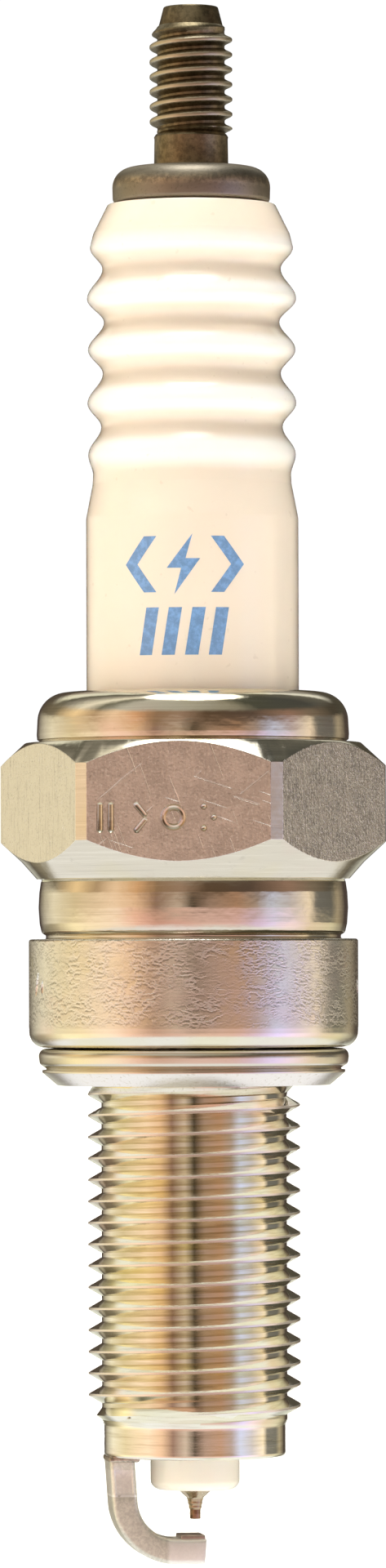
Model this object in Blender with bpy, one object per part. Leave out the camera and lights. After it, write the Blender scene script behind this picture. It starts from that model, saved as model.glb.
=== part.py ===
"""A spark plug with an M10 x 1 thread, a 16 mm hexagon and a bare M4 terminal stud.

The origin lies on the axis, in the plane where the gasket meets the cylinder head, and +Z runs towards the terminal.
Every function builds one piece. Lengths are in millimetres, and MM turns them into Blender's metres.
"""

import math

import bmesh
import bpy
from mathutils import Matrix, Vector

MM = 0.001
MERGE = 1e-7
CLEAR = 0.05

# Columns round each turned piece
HEAD_COLUMNS = 36
BODY_COLUMNS = 32
THREAD_COLUMNS = 24
STUD_COLUMNS = 20
INNER_COLUMNS = 20
SMALL_COLUMNS = 16

# Thread that screws into the cylinder head
REACH = 19.05
THREAD_PITCH = 1.0
THREAD_CREST_R = 4.95
THREAD_ROOT_R = 4.33
THREAD_PHASE = 0.081
THREAD_TOP = -0.12
THREAD_END = -15.62
PLAIN_END_TOP = -15.80
PLAIN_END_R = 4.23

# Flange, buckle zone, hexagon and crimped lip of the shell
FLANGE_BOTTOM = 1.79
FLANGE_TOP = 6.84
FLANGE_R = 7.70
SHELL_END = FLANGE_BOTTOM - REACH
BUCKLE_R = 7.24
HEX_BOTTOM = 9.68
HEX_TOP = 16.00
HEX_ACROSS_FLATS = 16.0
HEX_CORNER_R = 8.99
LIP_TOP = 18.36
LIP_R = 7.31

# Bore of the shell
BORE_R = 6.00
BORE_CONE_TOP = 5.30
STEM_BORE_R = 3.70
LEDGE_TOP = -5.00
LEDGE_R = 2.90
LEDGE_END = -7.40
MOUTH_R = 3.10

# Insulator
INSULATOR_TOP = 41.20
RIB_CRESTS = ((39.2, 4.74), (36.8, 4.90), (34.4, 4.86), (31.9, 4.89), (29.5, 4.86))
RIB_GROOVES = ((38.2, 4.18), (35.7, 4.11), (33.3, 4.17), (30.8, 4.25), (28.5, 4.63))
BARREL_R = 4.97
BARREL_TOP = 26.4
SHOULDER = 13.90
STEM_R = 3.64
SEAT = -4.55
NOSE_TOP_R = 2.66
NOSE_R = 2.07
NOSE_END = -18.83
STUD_BORE_R = 1.55
HEAD_SEAT = -0.62
ELECTRODE_BORE_R = 1.10

# Terminal stud
STUD_TOP = 50.50
STUD_PITCH = 0.7
STUD_CREST_R = 1.95
STUD_ROOT_R = 1.58
STUD_PHASE = 46.84
STUD_THREAD_TOP = 49.55
STUD_THREAD_END = 44.50
STUD_NECK_R = 1.74
STUD_FLANGE_TOP = 42.93
STUD_FLANGE_BOTTOM = 41.26
STUD_FLANGE_R = 3.70
STUD_SHAFT_R = 1.48
STUD_SHAFT_END = 10.50

# Conductive glass and resistor between the stud and the centre electrode
STACK_R = 1.48
STACK_GAP = 0.04
RESISTOR_TOP = 8.50
RESISTOR_BOTTOM = 2.00
ELECTRODE_TOP = 0.00

# Centre electrode
ELECTRODE_R = 1.04
ELECTRODE_HEAD_R = 1.46
ELECTRODE_CONE_TOP = -18.42
ELECTRODE_END = -19.29
ELECTRODE_END_R = 0.365
CORE_R = 0.62
CORE_END = -16.90
TIP_WELD_END = -19.77
TIP_R = 0.25
TIP_END = -20.21

# Ground electrode
SPARK_GAP = 0.70
PAD_HEIGHT = 0.17
STRAP_THICKNESS = 1.18
STRAP_WIDTH = 2.20
STRAP_CORNER = 0.20
STRAP_OUTER_R = 4.15
STRAP_LEAN = math.radians(4.0)
STRAP_BEND_R = 2.45
STRAP_PAST_AXIS = 0.36
STRAP_TURN = math.radians(12.8)
PAD_LENGTH = 1.14
WELD_HEIGHT = 0.24

# Captive folded gasket
GASKET_TOP = 1.75
GASKET_BORE_R = 4.76
GASKET_BEAD_R = 7.25
GASKET_WAIST_R = 6.87
GASKET_FOOT_R = 6.35

# Packing between the insulator and the shell, under the crimped lip
PACKING_WIRE_R = 0.46
PACKING_MIDDLE_R = (BORE_R + BARREL_R) / 2
UPPER_PACKING = 16.45
LOWER_PACKING = 14.43

# Colour, metallic and roughness of each material
LOOKS = {
    "terminal_stud": ((0.16, 0.12, 0.09), 1.0, 0.38),
    "insulator": ((0.90, 0.82, 0.68), 0.0, 0.12),
    "metal_shell": ((0.74, 0.70, 0.60), 1.0, 0.30),
    "gasket": ((0.80, 0.77, 0.66), 1.0, 0.28),
    "ground_electrode": ((0.62, 0.54, 0.45), 1.0, 0.36),
    "ground_electrode_weld": ((0.50, 0.44, 0.38), 1.0, 0.45),
    "ground_electrode_pad": ((0.60, 0.55, 0.52), 1.0, 0.30),
    "centre_electrode": ((0.63, 0.56, 0.44), 1.0, 0.30),
    "electrode_tip_weld": ((0.52, 0.43, 0.32), 1.0, 0.38),
    "electrode_tip": ((0.42, 0.32, 0.24), 1.0, 0.32),
    "electrode_copper_core": ((0.80, 0.42, 0.26), 1.0, 0.30),
    "upper_glass_seal": ((0.16, 0.14, 0.13), 0.0, 0.30),
    "resistor": ((0.08, 0.08, 0.08), 0.0, 0.60),
    "lower_glass_seal": ((0.16, 0.14, 0.13), 0.0, 0.30),
    "upper_packing_ring": ((0.55, 0.55, 0.56), 1.0, 0.35),
    "talc_filler": ((0.80, 0.79, 0.75), 0.0, 0.85),
    "lower_packing_ring": ((0.55, 0.55, 0.56), 1.0, 0.35),
    "inner_seat_washer": ((0.58, 0.57, 0.55), 1.0, 0.35),
}


def clear_scene():
    for obj in list(bpy.data.objects):
        bpy.data.objects.remove(obj, do_unlink=True)


def axis_empty(name, parent=None, turn=0.0):
    """An empty on the plug's axis, turned about it, that pieces are parented to."""
    empty = bpy.data.objects.new(name, None)
    bpy.context.scene.collection.objects.link(empty)
    empty.rotation_euler.z = turn
    empty.parent = parent
    return empty


def material_of(name):
    colour, metallic, roughness = LOOKS[name]
    material = bpy.data.materials.new(name)
    material.use_nodes = True
    shader = material.node_tree.nodes["Principled BSDF"]
    shader.inputs["Base Color"].default_value = (*colour, 1.0)
    shader.inputs["Metallic"].default_value = metallic
    shader.inputs["Roughness"].default_value = roughness
    return material


def add_object(name, bm, parent=None, height=0.0):
    """Turns the bmesh into an object at this height on the axis."""
    bmesh.ops.recalc_face_normals(bm, faces=bm.faces)
    mesh = bpy.data.meshes.new(name)
    bm.to_mesh(mesh)
    bm.free()
    mesh.shade_smooth()
    mesh.set_sharp_from_angle(angle=math.radians(32))
    obj = bpy.data.objects.new(name, mesh)
    bpy.context.scene.collection.objects.link(obj)
    obj.location.z = height * MM
    obj.parent = parent
    if name in LOOKS:
        mesh.materials.append(material_of(name))
    return obj


def combine(target, other, operation):
    """Applies one Boolean to the target, removes the other solid and merges points that nearly meet."""
    modifier = target.modifiers.new(operation.lower(), "BOOLEAN")
    modifier.operation = operation
    modifier.solver = "EXACT"
    modifier.object = other
    bpy.context.view_layer.objects.active = target
    bpy.ops.object.modifier_apply(modifier=modifier.name)
    bpy.data.objects.remove(other, do_unlink=True)
    bm = bmesh.new()
    bm.from_mesh(target.data)
    bmesh.ops.remove_doubles(bm, verts=bm.verts, dist=MERGE * 20)
    bmesh.ops.dissolve_degenerate(bm, dist=MERGE * 20, edges=bm.edges)
    bm.to_mesh(target.data)
    bm.free()


def rounded(corners):
    """The corners (radius, height) as points. A corner (radius, height, fillet, steps) becomes an arc."""
    points = []
    count = len(corners)
    for i, corner in enumerate(corners):
        here = Vector(corner[:2])
        if len(corner) == 2:
            points.append(here)
            continue
        fillet, steps = corner[2:]
        before = (Vector(corners[i - 1][:2]) - here).normalized()
        after = (Vector(corners[(i + 1) % count][:2]) - here).normalized()
        half = before.angle(after) / 2
        centre = here + (before + after).normalized() * fillet / math.sin(half)
        start = here + before * fillet / math.tan(half) - centre
        end = here + after * fillet / math.tan(half) - centre
        sweep = math.atan2(start.x * end.y - start.y * end.x, start.dot(end))
        points += [centre + Matrix.Rotation(sweep * k / steps, 2) @ start for k in range(steps + 1)]
    return points


def spin_profile(bm, corners, columns, closed=False):
    """Spins the profile round the axis. An open profile starts and ends on it, or meets rings that are there."""
    verts = [bm.verts.new((p.x * MM, 0.0, p.y * MM)) for p in rounded(corners)]
    edges = [bm.edges.new(pair) for pair in zip(verts, verts[1:])]
    if closed:
        edges.append(bm.edges.new((verts[-1], verts[0])))
    bmesh.ops.spin(
        bm, geom=verts + edges, cent=(0, 0, 0), axis=(0, 0, 1), angle=math.tau, steps=columns, use_merge=True
    )
    bmesh.ops.remove_doubles(bm, verts=bm.verts, dist=MERGE)
    bmesh.ops.dissolve_degenerate(bm, dist=MERGE, edges=bm.edges)


def turned(name, corners, columns, parent=None, closed=False, height=0.0):
    bm = bmesh.new()
    spin_profile(bm, corners, columns, closed)
    return add_object(name, bm, parent, height)


def thread_strip(bm, section, pitch, phase, top, bottom, root, columns, fade_top, fade_bottom):
    """Adds a right-hand helical surface between a level ring at the top and one at the bottom.

    The section gives (share of a pitch below the crest's middle, radius). Rows of the helix that pass a ring are
    laid onto it, so the surface closes there, and the ridge fades into the root radius before it.
    """
    rows_per_turn = len(section)
    first = top + (phase - top) % pitch
    turns = math.ceil((first - bottom) / pitch) + 2
    grid = []
    for column in range(columns + 1):
        angle = math.tau * column / columns
        line = []
        for row in range(turns * rows_per_turn):
            turn, part = divmod(row, rows_per_turn)
            share, radius = section[part]
            height = first + pitch * (column / columns - turn - share)
            height = min(top, max(bottom, height))
            rise = min(1.0, (top - height) / fade_top, (height - bottom) / fade_bottom)
            radius = root + (radius - root) * rise
            spot = (radius * math.cos(angle), radius * math.sin(angle), height)
            line.append(bm.verts.new(Vector(spot) * MM))
        grid.append(line)
    for left, right in zip(grid, grid[1:]):
        for row in range(len(left) - 1):
            bm.faces.new((left[row], right[row], right[row + 1], left[row + 1]))
    bmesh.ops.remove_doubles(bm, verts=bm.verts, dist=MERGE * 10)


def build_shell(parent):
    """The plated steel shell: lip, hexagon, buckle zone, flange, thread and plain end in one solid."""
    hex_middle = (HEX_TOP + HEX_BOTTOM) / 2
    chamfer_peak = HEX_CORNER_R + 0.5
    lip = [(0, LIP_TOP), (BARREL_R + 0.9, LIP_TOP), (LIP_R, LIP_TOP - 0.12, 1.5, 5), (LIP_R, HEX_TOP)]
    hexagon = [
        (7.43, HEX_TOP),
        (chamfer_peak, HEX_TOP - 0.70 * (chamfer_peak - 7.43)),
        (chamfer_peak, hex_middle),
        (chamfer_peak, HEX_BOTTOM + 0.86 * (chamfer_peak - BUCKLE_R)),
        (BUCKLE_R, HEX_BOTTOM),
    ]
    buckle = [(7.05, HEX_BOTTOM - 0.05), (7.17, 9.1), (BUCKLE_R, 8.3), (7.17, 7.5), (7.0, FLANGE_TOP + 0.12)]
    flange = [
        (7.0, FLANGE_TOP),
        (FLANGE_R, FLANGE_TOP, 0.12, 2),
        (FLANGE_R, FLANGE_BOTTOM, 0.72, 4),
        (0, FLANGE_BOTTOM),
    ]
    shell = turned("metal_shell", lip + hexagon + buckle + flange, HEAD_COLUMNS, parent)
    combine(shell, hexagon_prism(), "INTERSECT")
    combine(shell, threaded_barrel(), "UNION")
    combine(shell, shell_bore(), "DIFFERENCE")
    shell.data.set_sharp_from_angle(angle=math.radians(32))


def hexagon_prism():
    """A tall hexagonal prism with narrow flats cut across its corners, which lie towards +X and -X."""
    half_flat = math.sqrt(HEX_CORNER_R**2 - (HEX_ACROSS_FLATS / 2) ** 2)
    cut = math.pi / 6 - math.atan2(half_flat, HEX_ACROSS_FLATS / 2)
    bm = bmesh.new()
    outline = []
    for corner in range(6):
        for side in (-cut, cut):
            angle = corner * math.pi / 3 + side
            spot = (HEX_CORNER_R * math.cos(angle), HEX_CORNER_R * math.sin(angle), FLANGE_BOTTOM - 2)
            outline.append(bm.verts.new(Vector(spot) * MM))
    face = bm.faces.new(outline)
    raised = bmesh.ops.extrude_face_region(bm, geom=[face])["geom"]
    lift = Vector((0, 0, LIP_TOP - FLANGE_BOTTOM + 4)) * MM
    bmesh.ops.translate(bm, vec=lift, verts=[v for v in raised if isinstance(v, bmesh.types.BMVert)])
    return add_object("hexagon_cutter", bm)


def threaded_barrel():
    """The threaded barrel with its plain end. Its top reaches into the flange."""
    section = ((-0.05, THREAD_CREST_R), (0.05, THREAD_CREST_R), (0.41, THREAD_ROOT_R), (0.59, THREAD_ROOT_R))
    bm = bmesh.new()
    thread_strip(
        bm, section, THREAD_PITCH, THREAD_PHASE, THREAD_TOP, THREAD_END, THREAD_ROOT_R, THREAD_COLUMNS, 0.3, 0.5
    )
    neck = [(0, FLANGE_BOTTOM + 2), (THREAD_ROOT_R, FLANGE_BOTTOM + 2), (THREAD_ROOT_R, THREAD_TOP)]
    end = [
        (THREAD_ROOT_R, THREAD_END),
        (PLAIN_END_R, PLAIN_END_TOP),
        (PLAIN_END_R, SHELL_END, 0.15, 2),
        (0, SHELL_END),
    ]
    spin_profile(bm, neck, THREAD_COLUMNS)
    spin_profile(bm, end, THREAD_COLUMNS)
    bmesh.ops.remove_doubles(bm, verts=bm.verts, dist=MERGE * 10)
    return add_object("barrel_cutter", bm)


def shell_bore():
    """What the shell's bore takes away, from above the lip to below the end."""
    corners = [
        (0, LIP_TOP + 1),
        (BARREL_R + CLEAR, LIP_TOP + 1),
        (BARREL_R + CLEAR, 17.35),
        (BORE_R, 16.97),
        (BORE_R, BORE_CONE_TOP),
        (STEM_BORE_R, BORE_CONE_TOP - (BORE_R - STEM_BORE_R)),
        (STEM_BORE_R, LEDGE_TOP),
        (LEDGE_R, LEDGE_TOP - (STEM_BORE_R - LEDGE_R)),
        (LEDGE_R, LEDGE_END),
        (MOUTH_R, LEDGE_END - 0.3),
        (MOUTH_R, SHELL_END - 1),
        (0, SHELL_END - 1),
    ]
    return turned("bore_cutter", corners, BODY_COLUMNS)


def rib_wave():
    """The ribs and grooves from the top rib down: half a cosine wave from each crest to the next groove."""
    turns = [spot for pair in zip(RIB_CRESTS, RIB_GROOVES) for spot in pair]
    points = [(turns[0][1], turns[0][0])]
    for (high_z, high_r), (low_z, low_r) in zip(turns, turns[1:]):
        for step in (1, 2, 3):
            share = (1 - math.cos(math.pi * step / 3)) / 2
            points.append((high_r + (low_r - high_r) * share, high_z + (low_z - high_z) * step / 3))
    return points


def build_insulator(parent):
    """The glazed insulator, bored for the stud and resistor above and for the centre electrode below."""
    top = [(STUD_BORE_R, INSULATOR_TOP), (3.98, INSULATOR_TOP, 0.15, 2), (4.66, 39.65)]
    barrel = [(BARREL_R, BARREL_TOP), (BARREL_R, SHOULDER), (BORE_R - CLEAR, SHOULDER - 0.3)]
    stem = [
        (BORE_R - CLEAR, BORE_CONE_TOP + 0.06),
        (STEM_R, BORE_CONE_TOP + 0.06 - (BORE_R - CLEAR - STEM_R)),
        (STEM_R, SEAT),
        (NOSE_TOP_R, SEAT - (STEM_R - NOSE_TOP_R)),
    ]
    nose = [(NOSE_R, -17.0), (NOSE_R, NOSE_END, 0.45, 4)]
    bore = [
        (ELECTRODE_BORE_R, NOSE_END),
        (ELECTRODE_BORE_R, HEAD_SEAT - (STUD_BORE_R - ELECTRODE_BORE_R)),
        (STUD_BORE_R, HEAD_SEAT),
    ]
    turned("insulator", top + rib_wave() + barrel + stem + nose + bore, BODY_COLUMNS, parent, closed=True)


def build_stud(parent):
    """The terminal stud: nose cone, M4 thread, neck, round flange and the shaft down into the insulator."""
    section = ((-0.12, STUD_CREST_R), (0.12, STUD_CREST_R), (0.37, STUD_ROOT_R), (0.63, STUD_ROOT_R))
    bm = bmesh.new()
    thread_strip(
        bm, section, STUD_PITCH, STUD_PHASE, STUD_THREAD_TOP, STUD_THREAD_END, STUD_ROOT_R, STUD_COLUMNS, 0.5, 0.25
    )
    above = [(0, STUD_TOP), (1.27, STUD_TOP, 0.08, 2), (STUD_ROOT_R, STUD_THREAD_TOP)]
    below = [
        (STUD_ROOT_R, STUD_THREAD_END),
        (STUD_NECK_R, STUD_THREAD_END - 0.12),
        (STUD_NECK_R, STUD_FLANGE_TOP),
        (STUD_FLANGE_R, STUD_FLANGE_TOP, 1.0, 5),
        (STUD_FLANGE_R, STUD_FLANGE_BOTTOM, 0.35, 3),
        (STUD_SHAFT_R, STUD_FLANGE_BOTTOM),
    ]
    for groove in (3.2, 2.4, 1.6):
        middle = STUD_SHAFT_END + groove
        below += [(STUD_SHAFT_R, middle + 0.2), (1.25, middle), (STUD_SHAFT_R, middle - 0.2)]
    below += [(STUD_SHAFT_R, STUD_SHAFT_END + 0.2), (STUD_SHAFT_R - 0.2, STUD_SHAFT_END), (0, STUD_SHAFT_END)]
    spin_profile(bm, above, STUD_COLUMNS)
    spin_profile(bm, below, STUD_COLUMNS)
    bmesh.ops.remove_doubles(bm, verts=bm.verts, dist=MERGE * 10)
    add_object("terminal_stud", bm, parent)


def build_plugs_of_bore(parent):
    """The two glass seals and the resistor, each a plain cylinder that fills the insulator's bore."""
    spans = {
        "upper_glass_seal": (STUD_SHAFT_END, RESISTOR_TOP),
        "resistor": (RESISTOR_TOP, RESISTOR_BOTTOM),
        "lower_glass_seal": (RESISTOR_BOTTOM, ELECTRODE_TOP),
    }
    for name, (top, bottom) in spans.items():
        length = top - bottom - STACK_GAP
        turned(name, [(0, length), (STACK_R, length), (STACK_R, 0), (0, 0)], INNER_COLUMNS, parent, height=bottom)


def build_centre_electrode(parent):
    """Nickel sheath with its copper core, then the weld and the fine wire tip."""
    top = ELECTRODE_TOP - STACK_GAP
    neck = HEAD_SEAT - (ELECTRODE_HEAD_R - ELECTRODE_R)
    sheath = [
        (CORE_R + 0.03, top),
        (ELECTRODE_HEAD_R, top),
        (ELECTRODE_HEAD_R, HEAD_SEAT + 0.02),
        (ELECTRODE_R, neck + 0.02),
        (ELECTRODE_R, ELECTRODE_CONE_TOP),
        (ELECTRODE_END_R, ELECTRODE_END),
        (0, ELECTRODE_END),
        (0, CORE_END - 0.03),
        (CORE_R + 0.03, CORE_END - 0.03),
    ]
    turned("centre_electrode", sheath, SMALL_COLUMNS, parent, closed=True)
    core_length = top - 0.02 - CORE_END
    core = [(0, core_length), (CORE_R, core_length), (CORE_R, 0), (0, 0)]
    turned("electrode_copper_core", core, SMALL_COLUMNS, parent, height=CORE_END)
    weld_length = ELECTRODE_END - 0.02 - TIP_WELD_END
    weld = [
        (0, weld_length),
        (ELECTRODE_END_R, weld_length),
        (0.345, weld_length * 0.62),
        (0.285, weld_length * 0.3),
        (TIP_R, 0),
        (0, 0),
    ]
    turned("electrode_tip_weld", weld, SMALL_COLUMNS, parent, height=TIP_WELD_END)
    tip_length = TIP_WELD_END - 0.02 - TIP_END
    tip = [(0, tip_length), (TIP_R, tip_length), (TIP_R, 0, 0.04, 2), (0, 0)]
    turned("electrode_tip", tip, SMALL_COLUMNS, parent, height=TIP_END)


def build_packing(parent):
    """The two wire rings with the talc between them, and the washer that the insulator's shoulder presses on."""
    circle = [math.tau * (k + 0.5) / 8 for k in range(8)]
    wire = [(PACKING_MIDDLE_R + PACKING_WIRE_R * math.cos(a), PACKING_WIRE_R * math.sin(a)) for a in circle]
    turned("upper_packing_ring", wire, BODY_COLUMNS, parent, closed=True, height=UPPER_PACKING)
    turned("lower_packing_ring", wire, BODY_COLUMNS, parent, closed=True, height=LOWER_PACKING)
    bottom = LOWER_PACKING + PACKING_WIRE_R + CLEAR
    top = UPPER_PACKING - PACKING_WIRE_R - CLEAR - bottom
    inner, outer = BARREL_R + CLEAR, BORE_R - CLEAR
    talc = [(inner, top), (outer, top), (outer, 0), (inner, 0)]
    turned("talc_filler", talc, BODY_COLUMNS, parent, closed=True, height=bottom)
    gap = 0.05
    low_r, high_r = LEDGE_R + gap, STEM_BORE_R - 2 * gap
    over_ledge = LEDGE_TOP - STEM_BORE_R + gap
    under_seat = SEAT - STEM_R - gap
    washer = [
        (high_r, under_seat + high_r),
        (high_r, over_ledge + high_r),
        (low_r, over_ledge + low_r),
        (low_r, under_seat + low_r),
    ]
    turned("inner_seat_washer", washer, BODY_COLUMNS, parent, closed=True)


def build_gasket(parent):
    """The folded sheet gasket: an upper bead and a lower disc, with the fold's slit open towards the neck."""
    corners = [
        (GASKET_BORE_R, GASKET_TOP),
        (GASKET_BEAD_R - 0.02, GASKET_TOP, 0.36, 3),
        (GASKET_BEAD_R, 1.15),
        (GASKET_WAIST_R, 0.82),
        (7.07, 0.72),
        (GASKET_FOOT_R, 0),
        (GASKET_BORE_R, 0, 0.2, 2),
        (GASKET_BORE_R, 0.76),
        (6.4, 0.76),
        (6.4, 0.88),
        (GASKET_BORE_R, 0.88),
    ]
    turned("gasket", corners, BODY_COLUMNS, parent, closed=True)


def strap_path():
    """Stations along the ground electrode's centre line, as (x, z, angle of its direction below +X)."""
    level = TIP_END - SPARK_GAP - PAD_HEIGHT - STRAP_THICKNESS / 2
    start = Vector((STRAP_THICKNESS / 2 - STRAP_OUTER_R, SHELL_END - WELD_HEIGHT - 0.04))
    centre_z = level + STRAP_BEND_R
    bend_z = centre_z - STRAP_BEND_R * math.sin(STRAP_LEAN)
    bend_x = start.x + (start.y - bend_z) * math.tan(STRAP_LEAN)
    centre_x = bend_x + STRAP_BEND_R * math.cos(STRAP_LEAN)
    stations = [(start.x, start.y, math.pi / 2 - STRAP_LEAN)]
    for step in range(9):
        down = (math.pi / 2 - STRAP_LEAN) * (1 - step / 8)
        stations.append((centre_x - STRAP_BEND_R * math.sin(down), centre_z - STRAP_BEND_R * math.cos(down), down))
    stations.append((STRAP_PAST_AXIS - 0.12, level, 0.0))
    stations.append((STRAP_PAST_AXIS, level, 0.0))
    return stations


def build_ground_electrode(parent):
    """The bent strap with rounded edges. Its root points to -X of the parent, which is turned into place."""
    half_t, half_w = STRAP_THICKNESS / 2, STRAP_WIDTH / 2
    corners = ((half_t, half_w), (half_t, -half_w), (-half_t, -half_w), (-half_t, half_w))
    outline = rounded([(*corner, STRAP_CORNER, 2) for corner in corners])
    bm = bmesh.new()
    stations = strap_path()
    rings = []
    for i, (x, z, down) in enumerate(stations):
        size = 0.84 if i == len(stations) - 1 else 1.0
        across = Vector((math.sin(down), 0, math.cos(down)))
        ring = [Vector((x, 0, z)) + (across * p.x + Vector((0, p.y, 0))) * size for p in outline]
        rings.append([bm.verts.new(spot * MM) for spot in ring])
    for near, far in zip(rings, rings[1:]):
        for k in range(len(near)):
            bm.faces.new((near[k - 1], near[k], far[k], far[k - 1]))
    bm.faces.new(rings[0])
    bm.faces.new(rings[-1])
    add_object("ground_electrode", bm, parent)


def rounded_block(name, size, centre, bevel, parent):
    """A box of this size whose edges are all bevelled."""
    bm = bmesh.new()
    bmesh.ops.create_cube(bm, size=MM, matrix=Matrix.Diagonal((*size, 1)))
    bmesh.ops.bevel(
        bm, geom=bm.edges[:], offset=bevel * MM, offset_type="OFFSET", segments=2, profile=0.5, affect="EDGES"
    )
    obj = add_object(name, bm, parent, centre[2])
    obj.location.x = centre[0] * MM
    obj.location.y = centre[1] * MM


def build_strap_trim(parent):
    """The upset weld at the strap's root and the raised pad under the tip."""
    weld_middle = SHELL_END - 0.02 - WELD_HEIGHT / 2
    rounded_block("ground_electrode_weld", (1.36, 2.44, WELD_HEIGHT), (-3.46, 0, weld_middle), 0.08, parent)
    pad_size = (PAD_LENGTH, STRAP_WIDTH - 0.5, PAD_HEIGHT - 0.02)
    pad_middle = TIP_END - SPARK_GAP - pad_size[2] / 2
    rounded_block("ground_electrode_pad", pad_size, (STRAP_PAST_AXIS - PAD_LENGTH / 2, 0, pad_middle), 0.05, parent)


def main():
    clear_scene()
    plug = axis_empty("plug_axis")
    strap_axis = axis_empty("strap_axis", plug, STRAP_TURN)
    gasket_axis = axis_empty("gasket_axis")
    build_shell(plug)
    build_insulator(plug)
    build_stud(plug)
    build_plugs_of_bore(plug)
    build_centre_electrode(plug)
    build_packing(plug)
    build_ground_electrode(strap_axis)
    build_strap_trim(strap_axis)
    build_gasket(gasket_axis)


main()
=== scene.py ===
import math

import bpy
from mathutils import Matrix, Vector


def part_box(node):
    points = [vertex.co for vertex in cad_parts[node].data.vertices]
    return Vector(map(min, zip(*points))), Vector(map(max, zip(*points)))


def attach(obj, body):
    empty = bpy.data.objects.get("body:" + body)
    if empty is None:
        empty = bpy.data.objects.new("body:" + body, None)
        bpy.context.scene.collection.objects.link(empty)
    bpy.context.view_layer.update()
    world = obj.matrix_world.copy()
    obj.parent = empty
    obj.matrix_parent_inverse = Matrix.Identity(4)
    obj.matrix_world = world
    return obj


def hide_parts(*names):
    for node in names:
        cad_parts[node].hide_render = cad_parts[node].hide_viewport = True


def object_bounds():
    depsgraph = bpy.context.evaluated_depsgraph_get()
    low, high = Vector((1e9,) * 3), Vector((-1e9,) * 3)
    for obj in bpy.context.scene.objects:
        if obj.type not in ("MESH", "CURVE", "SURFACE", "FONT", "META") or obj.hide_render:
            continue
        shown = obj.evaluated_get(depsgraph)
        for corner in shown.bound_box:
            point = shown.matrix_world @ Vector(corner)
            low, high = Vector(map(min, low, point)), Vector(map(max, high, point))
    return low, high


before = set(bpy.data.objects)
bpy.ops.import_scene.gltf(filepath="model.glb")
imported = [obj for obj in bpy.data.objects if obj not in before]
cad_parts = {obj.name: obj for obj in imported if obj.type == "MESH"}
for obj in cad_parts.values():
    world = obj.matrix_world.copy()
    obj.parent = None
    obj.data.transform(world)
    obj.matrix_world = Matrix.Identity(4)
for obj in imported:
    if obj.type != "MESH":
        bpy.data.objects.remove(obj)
CAD_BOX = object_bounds()

bl_info = {
    "name": "Spark plug",
    "version": (1, 0, 0),
    "blender": (4, 5, 0),
    "location": "3D View > Sidebar > Spark plug",
    "description": "Builds a spark plug piece by piece round its packed frame",
    "category": "Add Mesh",
}

# Lengths are in millimetres, and MM turns them into Blender's metres. The distances that weld are in metres
MM = 0.001
WELD = 2e-7
CUT_WELD = 1e-6
JOIN_WELD = 2e-6
PLUG = "plug"

# Columns round the shell, the insulator, the stud and the electrodes
STEPS = 120
INSULATOR_STEPS = 144
STUD_STEPS = 72
SHEATH_STEPS = 48
TIP_STEPS = 40

HEX_TOP = 16.0
HEX_BOTTOM = 9.68
CHAMFER = 0.92
FLANGE_TOP = 6.84
FLANGE_BOTTOM = 1.79
SHELL_END = -17.26

# The phase of a thread is the height of one of its crests at +X
THREAD_PITCH = 1.0
THREAD_PHASE = 0.081
THREAD_TOP = 0.60
THREAD_END = -15.55
STUD_PITCH = 0.7
STUD_PHASE = 46.84
STUD_THREAD = (44.55, 49.55)

# Middles of the signs printed on the barrel and punched into the front flat
PRINT_UPPER = 24.15
PRINT_LOWER = 21.05
PUNCH_MIDDLE = 12.39
PUNCH_HALF = 0.64
PUNCH_RADIUS = 0.17
PUNCH_SINK = 0.05

# Small nicks round the flange: azimuth from the front in degrees, height, length and lean
NICKS = (
    (-66, 4.75, 1.25, 0.35), (-61, 4.55, 0.75, 0.1), (88, 4.55, 0.9, -0.35), (171, 4.1, 0.8, 0.6),
    (134, 5.2, 0.6, -0.5),
)
NICK_RADIUS = 0.16

# The ground strap leans inwards, is turned from -X towards the front, and ends this far past the axis
STRAP_TURN = math.radians(12.8)
STRAP_LEAN = math.radians(4.0)
STRAP_END = 0.36
PAD_PROUD = 0.17

# Stretches of a noise that draw it out round the axis
RINGS = (0.05, 0.05, 1.0)
FINE_RINGS = (0.02, 0.02, 1.0)


# Reading a length off the frame

def low_mm(node):
    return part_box(node)[0] / MM


def high_mm(node):
    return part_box(node)[1] / MM


# Sizes and colours that a user would change

def size(label, default, about):
    return bpy.props.FloatProperty(
        name=label, description=about, default=default * MM, unit="LENGTH", precision=5, step=0.001
    )


def colour(label, default, about):
    return bpy.props.FloatVectorProperty(
        name=label, description=about, default=default, size=3, subtype="COLOR", min=0.0, max=1.0
    )


class InsulatorSettings(bpy.types.PropertyGroup):
    barrel_radius: size("Barrel radius", 4.97, "Radius of the plain barrel above the shell")
    nose_radius: size("Nose radius", 2.08, "Radius of the nose at the firing end")
    glaze: colour("Glaze", (0.88, 0.775, 0.655), "Colour of the glazed alumina")
    nose: colour("Nose", (0.93, 0.87, 0.76), "Colour of the unglazed nose")
    print_ink: colour("Printed mark", (0.16, 0.30, 0.54), "Ink of the mark printed on the barrel")


class ShellSettings(bpy.types.PropertyGroup):
    lip_radius: size("Lip radius", 7.31, "Radius of the crimped lip")
    across_flats: size("Across flats", 15.94, "Width of the hexagon between two flats")
    across_corners: size("Across corners", 18.04, "Width of the hexagon between two cut corners")
    buckle_radius: size("Buckle radius", 7.24, "Largest radius of the bulged zone under the hexagon")
    flange_radius: size("Flange radius", 7.70, "Radius of the flange above the gasket")
    crest_radius: size("Thread crest", 4.955, "Radius at the crest of the thread")
    root_radius: size("Thread root", 4.33, "Radius at the root of the thread")
    end_radius: size("Plain end", 4.23, "Radius of the plain end below the thread")
    plating: colour("Plating", (0.74, 0.70, 0.60), "Zinc plating of the shell")
    flat_tone: colour("Hexagon flats", (0.84, 0.79, 0.73), "Pressed flats of the hexagon")


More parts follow.
